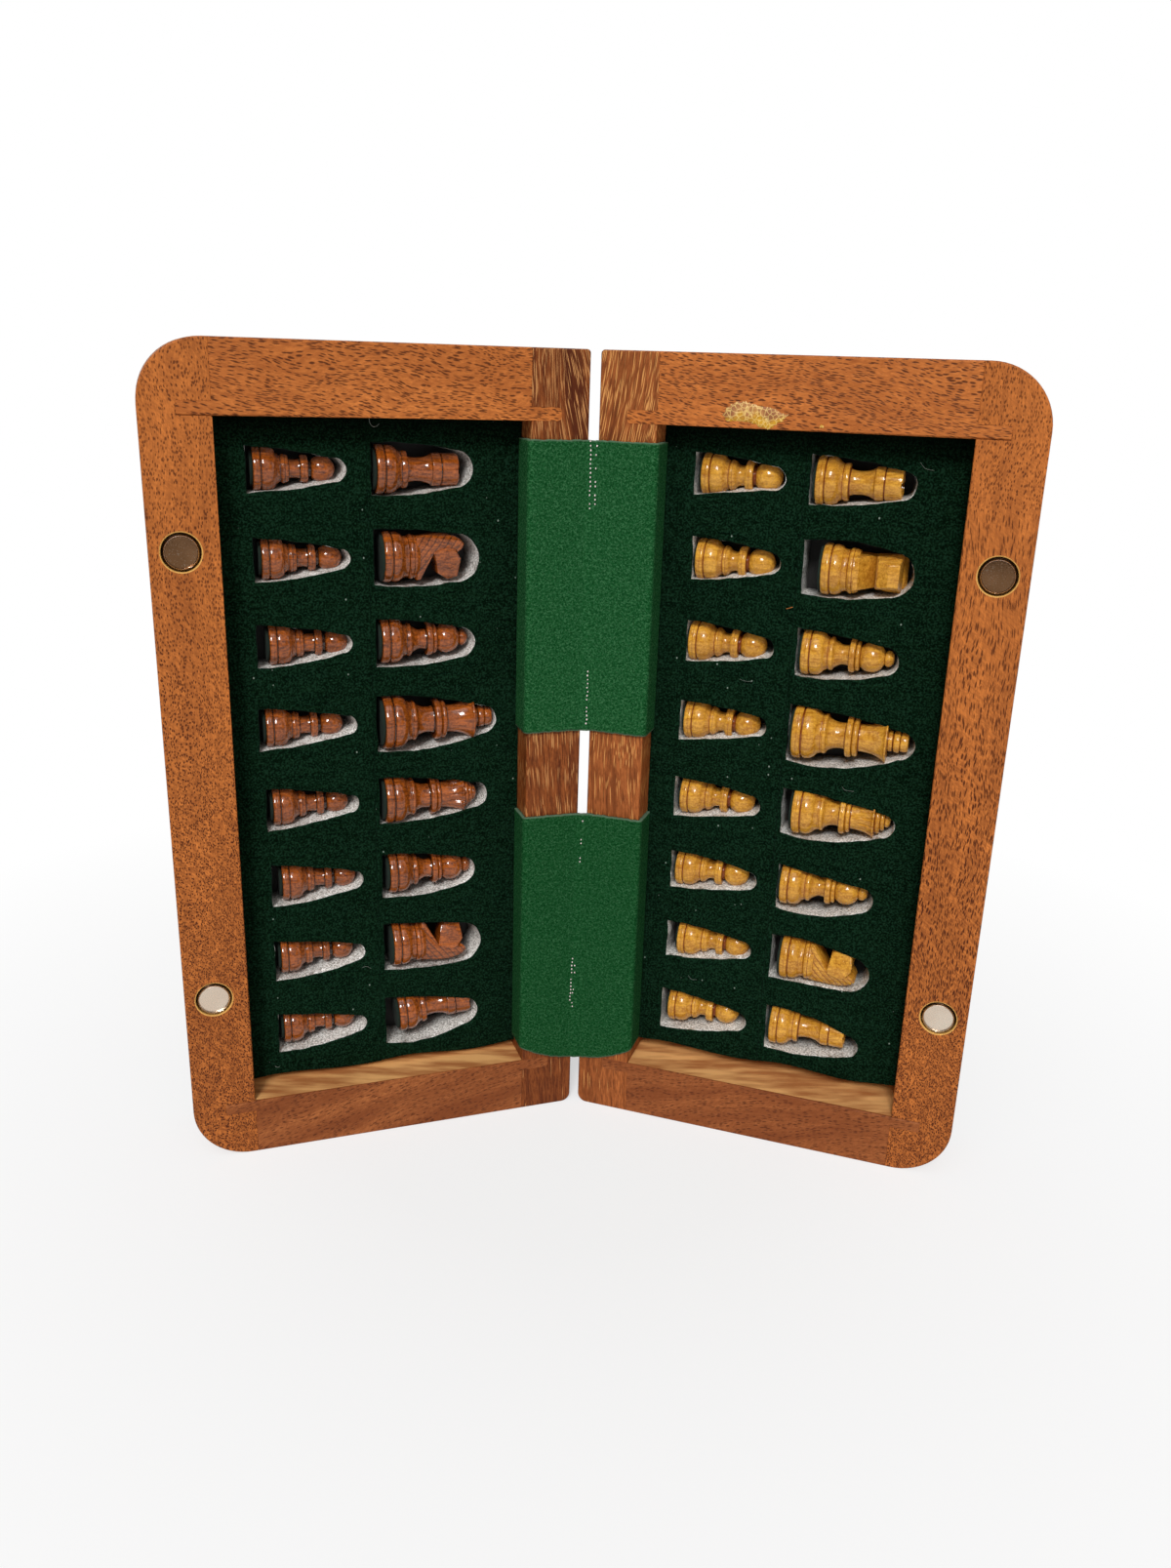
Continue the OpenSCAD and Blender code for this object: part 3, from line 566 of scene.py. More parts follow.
def strip(body, kind, x0, x1, foot, foot_line, finishes):
    """One strip of foam with its velvet facing, as one closed skin."""
    side = SIDES[body]
    bm = bmesh.new()
    place_layer = bm.verts.layers.int.new("place")
    cell_layer = bm.verts.layers.int.new("cell")
    near_layer = bm.verts.layers.float.new("near_slot")
    deep_layer = bm.verts.layers.float.new("deep")
    count = 2 * (UP + ACROSS)
    cells = []
    for i in range(8):
        z = row_middle(i)
        top = z + ROW_PITCH / 2 if i else TRAY_H - TOP_W - SIDE_R
        low = z - ROW_PITCH / 2 if i < 7 else FOOT_W + foot + SIDE_R
        cells.append((x0 + SIDE_R, x1 - SIDE_R, low, top, i == 0, i == 7, foot_line))
    for i, cell in enumerate(cells):
        slot = SLOTS[body][kind][i]
        seed = i * 3.1 + (7 if kind == "pawn" else 0) + side
        edge = [slot_point(slot, j, seed) + Vector((0, 0, row_middle(i))) for j in range(count)]
        outer = [cell_point(cell, j, 0) for j in range(count)]
        away = [(o - e).normalized() for e, o in zip(edge, outer)]
        back_outer = [cell_point(cell, j, SIDE_R) for j in range(count)]
        loop = [bm.verts.new(p + Vector((0, FOAM_BACK, 0))) for p in back_outer]
        for j, v in enumerate(loop):
            v[place_layer], v[cell_layer] = j, i
        rim = [bm.edges.new((loop[j], loop[(j + 1) % count])) for j in range(count)]
        for depth in (FOAM_BACK, 13.2, 11.2, 9.2, RECESS + VELVET_T + 0.02):
            def wall(v, depth=depth):
                j = v[place_layer]
                lean = wall_slope(slot, edge[j].x, j) * (depth - RECESS) / (RAIL_D - RECESS)
                p = edge[j] + away[j] * (0.1 - lean + hand_cut(edge[j].x + depth, edge[j].z, seed + depth, 0.14))
                # How deep down the slot wall a point lies, for the foam's painted shade.
                v[deep_layer] = (depth - RECESS - VELVET_T) / (RAIL_D - RECESS - VELVET_T)
                return Vector((p.x, depth, p.z))
            rim = grow(bm, rim, wall)
        for near, angle in ((1.0, None), (1.0, 90), (0.6, 60), (0.45, 30), (0.35, 0)):
            def roll(v, near=near, angle=angle):
                j = v[place_layer]
                v[near_layer] = near
                if angle is None:
                    return Vector((edge[j].x, RECESS + VELVET_T, edge[j].z))
                a = math.radians(angle)
                p = edge[j] + away[j] * SOFT_R * (1 - math.sin(a))
                return Vector((p.x, puffed(p.x, p.z, 1) + SOFT_R * (1 - math.cos(a)), p.z))
            rim = grow(bm, rim, roll)
        for t in (0.08, 0.2, 0.36, 0.56, 0.78, 1.0):
            def field(v, t=t):
                j = v[place_layer]
                start = edge[j] + away[j] * SOFT_R
                p = start.lerp(outer[j], t)
                near = math.exp(-(p - start).length / 0.5)
                v[near_layer] = near * 0.35
                return Vector((p.x, puffed(p.x, p.z, near), p.z))
            rim = grow(bm, rim, field)
    bmesh.ops.remove_doubles(bm, verts=bm.verts, dist=1e-3)
    rim = [e for e in bm.edges if e.is_boundary and e.verts[0].co.y < 9]
    for angle, depth in ((30, None), (60, None), (90, None), (90, 8.5), (90, FOAM_BACK)):
        def side_wall(v, angle=angle, depth=depth):
            a = math.radians(angle)
            p = cell_point(cells[v[cell_layer]], v[place_layer], SIDE_R * math.sin(a))
            y = puffed(p.x, p.z, 0) + SIDE_R * (1 - math.cos(a)) if depth is None else depth
            v[near_layer] = 0
            return Vector((p.x, y, p.z))
        rim = grow(bm, rim, side_wall)
    bmesh.ops.remove_doubles(bm, verts=bm.verts, dist=1e-3)
    for f in bm.faces:
        middle = f.calc_center_median()
        at_side = min(middle.x - x0, x1 - middle.x) < SIDE_R
        f.material_index = int(middle.y > RECESS + (1.6 if at_side else VELVET_T + 0.005))
    bm.transform(well_place(side))
    bmesh.ops.recalc_face_normals(bm, faces=bm.faces)
    piece = piece_of(bm, f"{body}_{kind}_insert", body, finishes, 60)
    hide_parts(f"{body}_{kind}_foam", f"{body}_{kind}_velvet")
    return piece


velvet, tree, shader = finish_named("green_velvet", Roughness=0.95, Sheen_Weight=0.04, Sheen_Roughness=0.5,
                                    Sheen_Tint=tone(150, 210, 180), Specular_IOR_Level=0.02)
ribs = speckle(tree, (200.0, 200.0, 1700.0), Detail=3.0, Roughness=0.7)
tufts = speckle(tree, 2600.0, Detail=1.0)
nap = speckle(tree, 70.0, Detail=3.0)
lint = put(tree, "TexVoronoi", {"Vector": stretched(tree, object_point(tree), (800.0, 800.0, 620.0)), "Scale": 1.0})
lint_pick = put(tree, "SeparateColor", {0: lint.outputs["Color"]}).outputs[0]
linted = sums(tree, "MULTIPLY", ramped(tree, lint.outputs["Distance"], 0.16, 0.08),
              sums(tree, "LESS_THAN", lint_pick, 0.035))
slot_side = painted(tree, "near_slot")
height = parted(tree, object_point(tree))["Z"]
pile = tinted(tree, tone(2, 15, 6), (12, 34, 18), ribs, 0.35, 0.7)
pile = tinted(tree, pile, (12, 38, 22), nap, 0.4, 0.75, 0.3)
pile = tinted(tree, pile, (24, 52, 36), tufts, 0.5, 0.64, 0.65)
pile = tinted(tree, pile, (0, 6, 1), tufts, 0.5, 0.36, 0.65)
# Painted shadow: the velvet darkens towards the top of the well, where the top rail shades it.
pile = tinted(tree, pile, (3, 5, 3), height, 0.158, 0.163, 0.7)
pile = tinted(tree, pile, (46, 70, 58), slot_side, 0.4, 1.0, 0.45)
dressed(tree, shader, tinted(tree, pile, (132, 146, 134), linted), None, (ribs, 0.45, 0.0002))

foam, tree, shader = finish_named("grey_foam", Roughness=0.42, Specular_IOR_Level=0.7)
bubbles = put(tree, "TexVoronoi", {"Vector": object_point(tree), "Scale": 2600.0}).outputs["Distance"]
sparkle = speckle(tree, 2400.0)
# The foam is near white by the velvet and darker deeper down the slot walls: painted shade where little light
# reaches.
slot_wall_shade = painted(tree, "deep")
grey = tinted(tree, tone(252, 249, 243), (196, 192, 184), bubbles, 0.15, 0.7)
grey = tinted(tree, grey, (255, 253, 248), sparkle, 0.52, 0.62)
grey = tinted(tree, grey, (120, 115, 108), sparkle, 0.46, 0.34, 0.8)
grey = tinted(tree, grey, (40, 36, 32), slot_wall_shade, 0.4, 1.0, 0.85)
dressed(tree, shader, grey, None, (bubbles, 0.8, 0.0002))

FOOT_GAP = {"case": 1.5, "lid": 3.5}
for body in SIDES:
    strip(body, "pawn", 0.02, PAWN_STRIP_W, FOOT_GAP[body], lambda x: 0.4 * math.sin(x * 0.2), [velvet, foam])
    strip(body, "piece", PAWN_STRIP_W + SEAM_GAP, WELL_W - 0.02, FOOT_GAP[body],
          lambda x: 0.5 * math.sin((x - 30) * 0.22), [velvet, foam])

# Straps. Two bands of green felt are glued over both spine rims, across the fold and down the inner
# sides of the spine rails. The cut edges are a little fuzzy, paler from loose fibres and a painted highlight, and
# pale dots along the fold are painted light showing through pinholes.
STRAP_T, FLAP_END = 0.8, 6.7


def strap_path(s):
    """A point on the middle of the felt, s millimetres from the spine edge, in a tray's drawing."""
    r = 0.62
    flat = SPINE_W + STRAP_T / 2 - r
    if s <= flat:
        return Vector((s, -STRAP_T / 2, 0))
    a = (s - flat) / r
    if a < math.pi / 2:
        return Vector((flat + r * math.sin(a), -STRAP_T / 2 + r * (1 - math.cos(a)), 0))
    return Vector((SPINE_W + STRAP_T / 2, -STRAP_T / 2 + r + s - flat - r * math.pi / 2, 0))


HALF_STRAP = HALF_GAP + SPINE_W + STRAP_T / 2 - 0.62 + 0.62 * math.pi / 2 + (FLAP_END + STRAP_T / 2 - 0.62)
felt, tree, shader = finish_named("green_felt", Roughness=0.95, Specular_IOR_Level=0.03)
cloth = put(tree, "UVMap", uv_map="cloth").outputs[0]
fuzz = speckle(tree, 38.0, cloth, Roughness=0.7)
blotch = speckle(tree, 14.0, cloth, Detail=3.0)
fibre_ends = speckle(tree, 52.0, cloth, Detail=1.0, Distortion=1.0)
edge_side = painted(tree, "cut_edge")
cloth_height = parted(tree, cloth)["Y"]
green = tinted(tree, tone(14, 64, 28), (36, 90, 50), fuzz, 0.4, 0.62)
green = tinted(tree, green, (16, 70, 32), blotch, 0.4, 0.65, 0.4)
green = tinted(tree, green, (80, 130, 90), fibre_ends, 0.53, 0.63, 0.35)
green = tinted(tree, green, (2, 36, 12), fibre_ends, 0.47, 0.38, 0.35)
green = tinted(tree, green, (0, 40, 12), cloth_height, 4.1, 4.0, 0.25)
# Paler towards the cut edges: loose fibres, with a painted highlight where the edge catches the light.
green = tinted(tree, green, (104, 124, 104), edge_side, 0.3, 1.0, 0.7)
dressed(tree, shader, green, None, (fuzz, 0.5, 0.00025))
# Pale dots: painted light from the backdrop seen through pinholes along the fold.
pinhole_light = mottled("pale_pinhole_light", 0.8, 4000.0, (236, 208, 206), (255, 242, 240))


def felt_point(s, z, out=0.0):
    """A point of the strap in the box: s is counted from the fold, to the lid as positive."""
    side = 1 if s >= 0 else -1
    if abs(s) > 1.2:
        drawn = strap_path(abs(s) - HALF_GAP)
        return tray_place(side) @ Vector((drawn.x, drawn.y - out, z))
    ends = [tray_place(k) @ Vector((1.2 - HALF_GAP, -STRAP_T / 2 - out, z)) for k in (-1, 1)]
    t = (s + 1.2) / 2.4
    middle = (ends[0] + ends[1]) / 2 - Vector((0, 0.00024, 0))
    return ends[0] * (1 - t) * (1 - 2 * t) + middle * 4 * t * (1 - t) + ends[1] * t * (2 * t - 1)


def strap(name, foot, head, foot_rise, pinhole_rows):
    """A band of felt with its rows of pale dots, painted light through pinholes: each row's s, slant, foot, head and
    share of holes.
    """
    bm = bmesh.new()
    across, up = 120, 110
    bmesh.ops.create_grid(bm, x_segments=across, y_segments=up, size=0.5)
    uv = bm.loops.layers.uv.new("cloth")
    edge_layer = bm.verts.layers.float.new("cut_edge")
    for v in bm.verts:
        u, w = v.co.x + 0.5, v.co.y + 0.5
        s = (u * 2 - 1) * HALF_STRAP
        low = foot + foot_rise * min(1, (s / 14) ** 2)
        ragged = noise.noise(Vector((s * 0.9, w * 3, foot))) * 0.16 + noise.noise(Vector((s * 4, 1, foot))) * 0.06
        z = low + (head - low) * w + ragged * (abs(2 * w - 1) ** 8)
        reach = min(w, 1 - w) * (head - foot)
        v[edge_layer] = max(0, 1 - reach / 0.5)
        for loop in v.link_loops:
            loop[uv].uv = (s / 20, z / 20)
        v.co = felt_point(s, z, noise.noise(Vector((s * 0.12, z * 0.1, 5))) * 0.02)
    band = piece_of(bm, name + "_felt", None, [felt], 180)
    thick = band.modifiers.new("felt thickness", "SOLIDIFY")
    thick.thickness, thick.offset = 0.00076, 0
    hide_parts(name)
    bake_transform(band)
    # The rows of pale dots are painted light through pinholes in the felt.
    dots = bmesh.new()
    random.seed(4)
    for s, slant, z0, z1, share in pinhole_rows:
        z = z0
        while z < z1:
            if random.random() < share:
                size = random.uniform(0.14, 0.18)
                at = felt_point(s + slant * (z - z0) + random.uniform(-0.1, 0.1), z, 0.43)
                bmesh.ops.create_icosphere(dots, subdivisions=1, radius=size * 0.001,
                                           matrix=Matrix.Translation(at) @ Matrix.Diagonal((1, 0.5, 1.45, 1)))
            z += 0.92
    holes = piece_of(dots, name + "_pinhole_light", None, [pinhole_light], 180)
    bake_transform(holes)


strap("upper_strap", 96.8, 160, 0, [(-0.41, -0.016, 146, 160, 0.9), (0.7, 0, 146, 159.4, 0.4),
                                   (0.3, 0, 97.6, 111, 0.85)])
strap("lower_strap", 13, 76.8, 4.5, [(-0.2, 0.03, 65, 76, 0.7), (-1.8, 0.033, 26, 40, 0.7),
                                   (-1.1, 0.033, 27, 39, 0.5)])

# Glue. A crust of dried glue was left on the lid's top rail, by the edge of the well: yellow below and
# at the left, pale and wrinkled above. A flake of it lies a little to the right.
GLUE_EDGE = [(26.2, 166.4), (27.4, 168.0), (28.8, 168.7), (30.1, 169.0), (31.6, 168.6), (33.2, 168.2), (36.1, 168.0),
             (38.3, 167.0), (39.5, 166.7), (38.7, 165.6), (37.5, 165.0), (36.3, 163.9), (34.9, 163.75), (32.5, 164.7),
             (29.4, 165.2), (27.8, 164.9), (26.5, 165.6)]
glue, tree, shader = finish_named("dried_glue", Roughness=0.45, Specular_IOR_Level=0.3)
wrinkle = put(tree, "TexVoronoi", {"Vector": object_point(tree), "Scale": 1100.0}, feature="DISTANCE_TO_EDGE")
bubbles = speckle(tree, 700.0, Detail=3.0, Distortion=1.5)
patch = speckle(tree, 260.0, Detail=1.0)
glue_height = parted(tree, object_point(tree))["Z"]
up_share = sums(tree, "ADD", ramped(tree, glue_height, 0.1652, 0.1672), ramped(tree, patch, 0.35, 0.65, -0.5, 0.5))
crust = tinted(tree, tone(206, 152, 36), (190, 134, 80), up_share, 0.3, 0.7)
crust = tinted(tree, crust, (146, 86, 48), patch, 0.48, 0.58, 0.85)
crust = tinted(tree, crust, (140, 92, 52), bubbles, 0.5, 0.7, 0.6)
crust = tinted(tree, crust, (244, 210, 128), wrinkle.outputs["Distance"], 0.1, 0.0, 0.8)
dressed(tree, shader, crust, None, (bubbles, 0.8, 0.0003))


def skin(bm, rings):
    """Joins rings of points into one closed skin."""
    rings = [[bm.verts.new(p) for p in ring] for ring in rings]
    for a, b in zip(rings, rings[1:]):
        for k in range(len(a)):
            n = (k + 1) % len(a)
            bm.faces.new((a[k], a[n], b[n], b[k]))
    bm.faces.new(rings[0])
    bm.faces.new(reversed(rings[-1]))


def crust_of(bm, outline, spine, height):
    """A low mound inside an outline, drawn in together towards a line from spine to spine."""
    (ax, az), (bx, bz) = spine
    rim = []
    for (x, z), (nx, nz) in zip(outline, outline[1:] + outline[:1]):
        rim += [(x + (nx - x) * k / 6, z + (nz - z) * k / 6) for k in range(6)]
    rings = []
    for t in (1.0, 0.985, 0.94, 0.85, 0.7, 0.5, 0.3, 0.12):
        ring = []
        for x, z in rim:
            mx = min(max(x, ax), bx)
            mz = az + (bz - az) * (mx - ax) / (bx - ax)
            wander = 0.22 * noise.noise(Vector((x * 2.2, z * 2.2, 4)))
            px, pz = mx + (x - mx) * (t + wander * t), mz + (z - mz) * (t + wander * t)
            lift = height * (1 - t ** 6) * (0.75 + 0.5 * noise.noise(Vector((px * 1.6, pz * 1.6, 8))))
            ring.append((px, 0.02 - lift, pz))
        rings.append(ring)
    skin(bm, rings)


bm = bmesh.new()
crust_of(bm, GLUE_EDGE, ((29.0, 166.8), (36.8, 166.1)), 0.4)
crust_of(bm, [(45.9, 164.5), (46.1, 165.1), (46.7, 165.0), (46.8, 164.5)], ((46.2, 164.8), (46.5, 164.8)), 0.2)
bmesh.ops.triangulate(bm, faces=[f for f in bm.faces if len(f.verts) > 4])
bm.transform(tray_place(1))
bmesh.ops.recalc_face_normals(bm, faces=bm.faces)
piece_of(bm, "lid_glue_crust", "lid", [glue], 60)

# Lint. A few pale hairs lie on the velvet of both trays, and an orange splinter in the lid.
lint_finish = mottled("lint_and_hair", 0.8, 1500.0, (96, 104, 96), (150, 154, 146))
splinter = mottled("splinter_wood", 0.7, 1500.0, (190, 96, 30), (226, 140, 60))
# Each hair: its thickness, then its points in the well, from the left wall and above the foot. It lies
# a little over the velvet.
HAIR_LIFT = 0.16
HAIRS = {
    "case": [(0.11, (30.9, 163.5), (31.0, 162.4), (31.6, 161.7), (32.4, 161.8), (32.9, 162.3)),
             (0.05, (26.0, 40.2), (27.0, 40.6), (28.2, 39.8)), (0.08, (5.2, 17.6), (5.7, 17.1), (6.3, 17.3))],
    "lid": [(0.05, (12.2, 36.4), (13.1, 35.4), (14.4, 35.7)), (0.05, (19.6, 110.4), (21.2, 110.0), (22.6, 110.3)),
            (0.05, (53.0, 158.4), (54.0, 157.2), (55.8, 157.0)), (0.05, (44.0, 88.9), (44.5, 88.0), (46.6, 88.0))],
}
SPLINTERS = {"case": [], "lid": [(0.1, (28.6, 126.8), (29.2, 127.0), (30.0, 127.3))]}


def hair(bm, thickness, points):
    """A thin strand through three or more points, laid on the velvet."""
    path = []
    for (ax, az), (bx, bz) in zip(points, points[1:]):
        path += [Vector((ax + (bx - ax) * k / 4, az + (bz - az) * k / 4)) for k in range(4)]
    path.append(Vector(points[-1]))
    for _ in range(2):
        path = [path[0]] + [(a + b * 2 + c) / 4 for a, b, c in zip(path, path[1:], path[2:])] + [path[-1]]
    rings = []
    for k, p in enumerate(path):
        ahead = (path[min(k + 1, len(path) - 1)] - path[max(k - 1, 0)]).normalized() * thickness / 2
        rings.append([(p.x + ahead.y * dx, RECESS - HAIR_LIFT + dy * thickness / 2, p.y - ahead.x * dx)
                      for dx, dy in ((1, 0), (0, 1), (-1, 0), (0, -1))])
    skin(bm, rings)


for body, side in SIDES.items():
    bm = bmesh.new()
    for thickness, *points in HAIRS[body]:
        hair(bm, thickness, points)
    hairs = len(bm.faces)
    for thickness, *points in SPLINTERS[body]:
        hair(bm, thickness, points)
    for k, f in enumerate(bm.faces):
        f.material_index = int(k >= hairs)
    bm.transform(well_place(side))
    bmesh.ops.recalc_face_normals(bm, faces=bm.faces)
    piece_of(bm, f"{body}_lint", body, [lint_finish, splinter], 60)

# Chessmen. Each is turned from one piece of wood, dark stained sheesham in the case and boxwood in the
# lid, polished on the lathe, with a disc of green felt under its base.
MEN = {"pawn": (17.5, 8.5), "rook": (18, 10.2), "knight": (17.9, 10.8), "bishop": (20, 10),
       "queen": (21.8, 11.2), "king": (25.2, 12)}
ROWS = ["rook", "knight", "bishop", "king", "queen", "bishop", "knight", "rook"]
PAD_T = 0.6


def base_line(ring, end, shoulder):
    """The lower part of every man: a disc with a fine groove over it and a bell."""
    rest = end - ring
    return [(0.9, 0, 0), (0.985, 0.012, 0.2), (1, ring * 0.55, 0.05), (0.965, ring - 0.004, 0.15), (0.91, ring, 0),
            (0.91, ring + 0.01, 0), (0.965, ring + 0.016, 0.1), (0.985, ring + 0.3 * rest, 0.06),
            (0.86, ring + 0.7 * rest, 0.09), (shoulder, end, -0.1)]


TURNED = {
    "pawn": base_line(0.1, 0.335, 0.66) + [(0.7, 0.343, 0.1), (0.7, 0.375, 0.2), (0.57, 0.425, 0.1),
        (0.48, 0.47, -0.1), (0.5, 0.54, -0.05), (0.7, 0.545, 0), (0.74, 0.592, 0.12), (0.7, 0.64, 0.12),
        (0.42, 0.645, 0), (0.42, 0.67, 0), (0.695, 0.8166, 0.118), (0, 1, 0.207)],
    "dark_pawn": base_line(0.09, 0.33, 0.6) + [(0.62, 0.338, 0.1), (0.64, 0.38, 0.2), (0.6, 0.42, 0.1),
        (0.45, 0.428, 0), (0.42, 0.49, -0.06), (0.45, 0.56, -0.06), (0.58, 0.566, 0), (0.62, 0.61, 0.14),
        (0.58, 0.652, 0.12), (0.4, 0.658, 0), (0.37, 0.69, 0), (0.59, 0.83, 0.12), (0, 0.985, 0.2)],
    "rook": base_line(0.1, 0.31, 0.72) + [(0.74, 0.32, 0.1), (0.74, 0.375, 0.12), (0.54, 0.385, 0),
        (0.48, 0.47, -0.05), (0.5, 0.58, -0.04), (0.64, 0.68, -0.06), (0.67, 0.69, 0.1), (0.67, 0.785, 0.02),
        (0.6, 0.79, 0), (0.6, 0.8, 0), (0.66, 0.806, 0.1), (0.66, 0.985, 0.01), (0.63, 1, 0.1), (0.42, 1, 0),
        (0.4, 0.95, 0), (0, 0.95, 0)],
    "bishop": base_line(0.09, 0.29, 0.68) + [(0.7, 0.3, 0.1), (0.7, 0.34, 0.2), (0.54, 0.38, -0.1),
        (0.43, 0.44, -0.06), (0.46, 0.515, -0.05), (0.7, 0.522, 0), (0.73, 0.55, 0.12), (0.7, 0.58, 0.12),
        (0.5, 0.585, 0), (0.6, 0.59, 0.1), (0.6, 0.632, 0.3), (0.46, 0.64, 0), (0.52, 0.66, 0.02), (0.64, 0.74, 0.08),
        (0.62, 0.8, 0.04), (0.46, 0.87, 0.06), (0.27, 0.9, 0), (0.25, 0.905, 0), (0.32, 0.915, 0.2), (0.3, 0.97, 0.2),
        (0, 1, 0.15)],
    "queen": base_line(0.085, 0.27, 0.74) + [(0.74, 0.28, 0.1), (0.74, 0.315, 0.2), (0.58, 0.35, -0.1),
        (0.49, 0.41, -0.05), (0.51, 0.482, -0.05), (0.76, 0.49, 0), (0.78, 0.515, 0.12), (0.76, 0.542, 0.12),
        (0.58, 0.547, 0), (0.66, 0.553, 0.1), (0.66, 0.592, 0.3), (0.54, 0.6, 0), (0.55, 0.66, -0.03),
        (0.76, 0.83, -0.07), (0.77, 0.845, 0.2), (0.6, 0.85, 0), (0.56, 0.856, 0), (0.55, 0.9, 0.2), (0.43, 0.905, 0),
        (0.42, 0.945, 0.2), (0.28, 0.95, 0), (0.27, 0.985, 0.2), (0, 1, 0.15)],
    "king": base_line(0.08, 0.25, 0.72) + [(0.72, 0.258, 0.1), (0.72, 0.29, 0.2), (0.56, 0.325, -0.1),
        (0.48, 0.385, -0.05), (0.5, 0.458, -0.05), (0.73, 0.466, 0), (0.76, 0.49, 0.12), (0.73, 0.515, 0.12),
        (0.57, 0.52, 0), (0.67, 0.526, 0.1), (0.67, 0.566, 0.3), (0.51, 0.575, 0), (0.52, 0.64, -0.03),
        (0.78, 0.805, -0.07), (0.79, 0.82, 0.2), (0.4, 0.823, 0), (0.37, 0.826, 0), (0.37, 0.862, 0.08),
        (0.29, 0.866, 0), (0.3, 0.872, 0), (0.38, 0.88, 0.1), (0.38, 0.925, 0.1), (0.3, 0.932, 0), (0.35, 0.94, 0.1),
        (0.34, 0.99, 0.05), (0.29, 1, 0.2), (0, 1, 0)],
    "knight": base_line(0.1, 0.3, 0.82) + [(0.8, 0.31, 0), (0.85, 0.318, 0.1), (0.87, 0.37, 0.2), (0.84, 0.41, 0.1),
        (0.8, 0.435, 0), (0, 0.435, 0)],
}


def arc(a, b, bow, steps=7):
    """Points after a up to b on the arc that bows outward by that share of its chord."""
    if not bow:
        return [b]
    half = 2 * math.atan(2 * abs(bow))
    chord = b - a
    radius = chord.length / (2 * math.sin(half))
    out = Vector((chord.z, 0, -chord.x)).normalized() * math.copysign(1, bow)
    points = []
    for i in range(1, steps + 1):
        angle = -half + 2 * half * i / steps
        across = 0.5 + radius * math.sin(angle) / chord.length
        points.append(a + chord * across + out * radius * (math.cos(angle) - math.cos(half)))
    return points


def turned(bm, kind, profile):
    """Spins a man's line about its axis, and marks the grooves for the finish."""
    height, width = MEN[kind]
    r, h = width / 2 * (1.05 if kind == "pawn" else 1), height - PAD_T
    groove = bm.verts.layers.float.new("groove")
    line = [Vector((TURNED[profile][0][0] * r, 0, PAD_T))]
    depth = [0.0]
    for share, rise, bow in TURNED[profile][1:]:
        added = arc(line[-1], Vector((share * r, 0, PAD_T + rise * h)), bow)
        line += added
        depth += [0.0] * len(added)
    for i in range(1, len(line) - 1):
        a, b = line[i] - line[i - 1], line[i + 1] - line[i]
        turn = a.x * b.z - a.z * b.x
        if a.length * b.length > 0:
            depth[i] = max(0.0, min(1.0, -turn / (a.length * b.length) * 1.3))
    line[-1].x = 0
    verts = [bm.verts.new(p) for p in [Vector((0, 0, PAD_T))] + line]
    for v, d in zip(verts[1:], depth):
        v[groove] = d
    edges = [bm.edges.new(pair) for pair in zip(verts, verts[1:])]
    bmesh.ops.spin(bm, geom=verts + edges, cent=(0, 0, 0), axis=(0, 0, 1), angle=2 * math.pi,
                   steps=56, use_merge=True)
    bmesh.ops.remove_doubles(bm, verts=bm.verts, dist=1e-4)


def rook_notches(bm):
    """Two shallow saw cuts across the tower, as four low merlons."""
    height, width = MEN["rook"]
    for v in bm.verts:
        radius = Vector((v.co.x, v.co.y)).length
        if v.co.z > height - 0.2 and radius > width * 0.19:
            a = math.degrees(math.atan2(v.co.y, v.co.x)) % 90
            if min(a, 90 - a) < 12:
                v.co.z -= 0.75


def queen_flutes(bm):
    """Narrow flutes cut down the crown."""
    height = MEN["queen"][0]
    for v in bm.verts:
        share = (v.co.z - PAD_T) / (height - PAD_T)
        if 0.64 < share < 0.846:
            a = math.atan2(v.co.y, v.co.x)
            cut = max(0, math.cos(a * 14)) ** 3 * min(1, (share - 0.64) / 0.08) * 0.1
            v.co.x *= 1 - cut
            v.co.y *= 1 - cut


def plate(bm, outline, half, bends, edge, carved=False):
    """A sawn shape in side view, its muzzle to +X. half(x) is half its thickness there, with bends at some x."""
    uv = bm.loops.layers.uv["carving"]
    verts = [bm.verts.new((x, -1, z)) for x, z in outline]
    pushed = bmesh.ops.extrude_face_region(bm, geom=[bm.faces.new(verts)])["geom"]
    top = [g for g in pushed if isinstance(g, bmesh.types.BMVert)]
    bmesh.ops.translate(bm, verts=top, vec=(0, 2, 0))
    own = set(verts + top)
    for x in bends:
        parts = [*own, *{e for v in own for e in v.link_edges}, *{f for v in own for f in v.link_faces}]
        made = bmesh.ops.bisect_plane(bm, geom=parts, dist=1e-5, plane_co=(x, 0, 0), plane_no=(1, 0, 0))
        own |= {g for g in made["geom_cut"] if isinstance(g, bmesh.types.BMVert)}
    for v in own:
        v.co.y = math.copysign(half(v.co.x), v.co.y)
    for f in {f for v in own for f in v.link_faces}:
        is_side = carved and all(abs(abs(v.co.y) - half(v.co.x)) < 1e-4 for v in f.verts) and abs(
            sum(math.copysign(1, v.co.y) for v in f.verts)) == len(f.verts)
        for loop in f.loops:
            across = (loop.vert.co.z * 0.77 + loop.vert.co.x * 0.64) / 1.15
            loop[uv].uv = (across, 1.0) if is_side else (0.0, 0.0)
    rims = [e for e in {e for v in own for e in v.link_edges}
            if e.is_manifold and e.verts[0].co.y * e.verts[1].co.y > 0 and e.calc_face_angle(0) > 0.6]
    bevel(bm, rims, edge, clamped=True)


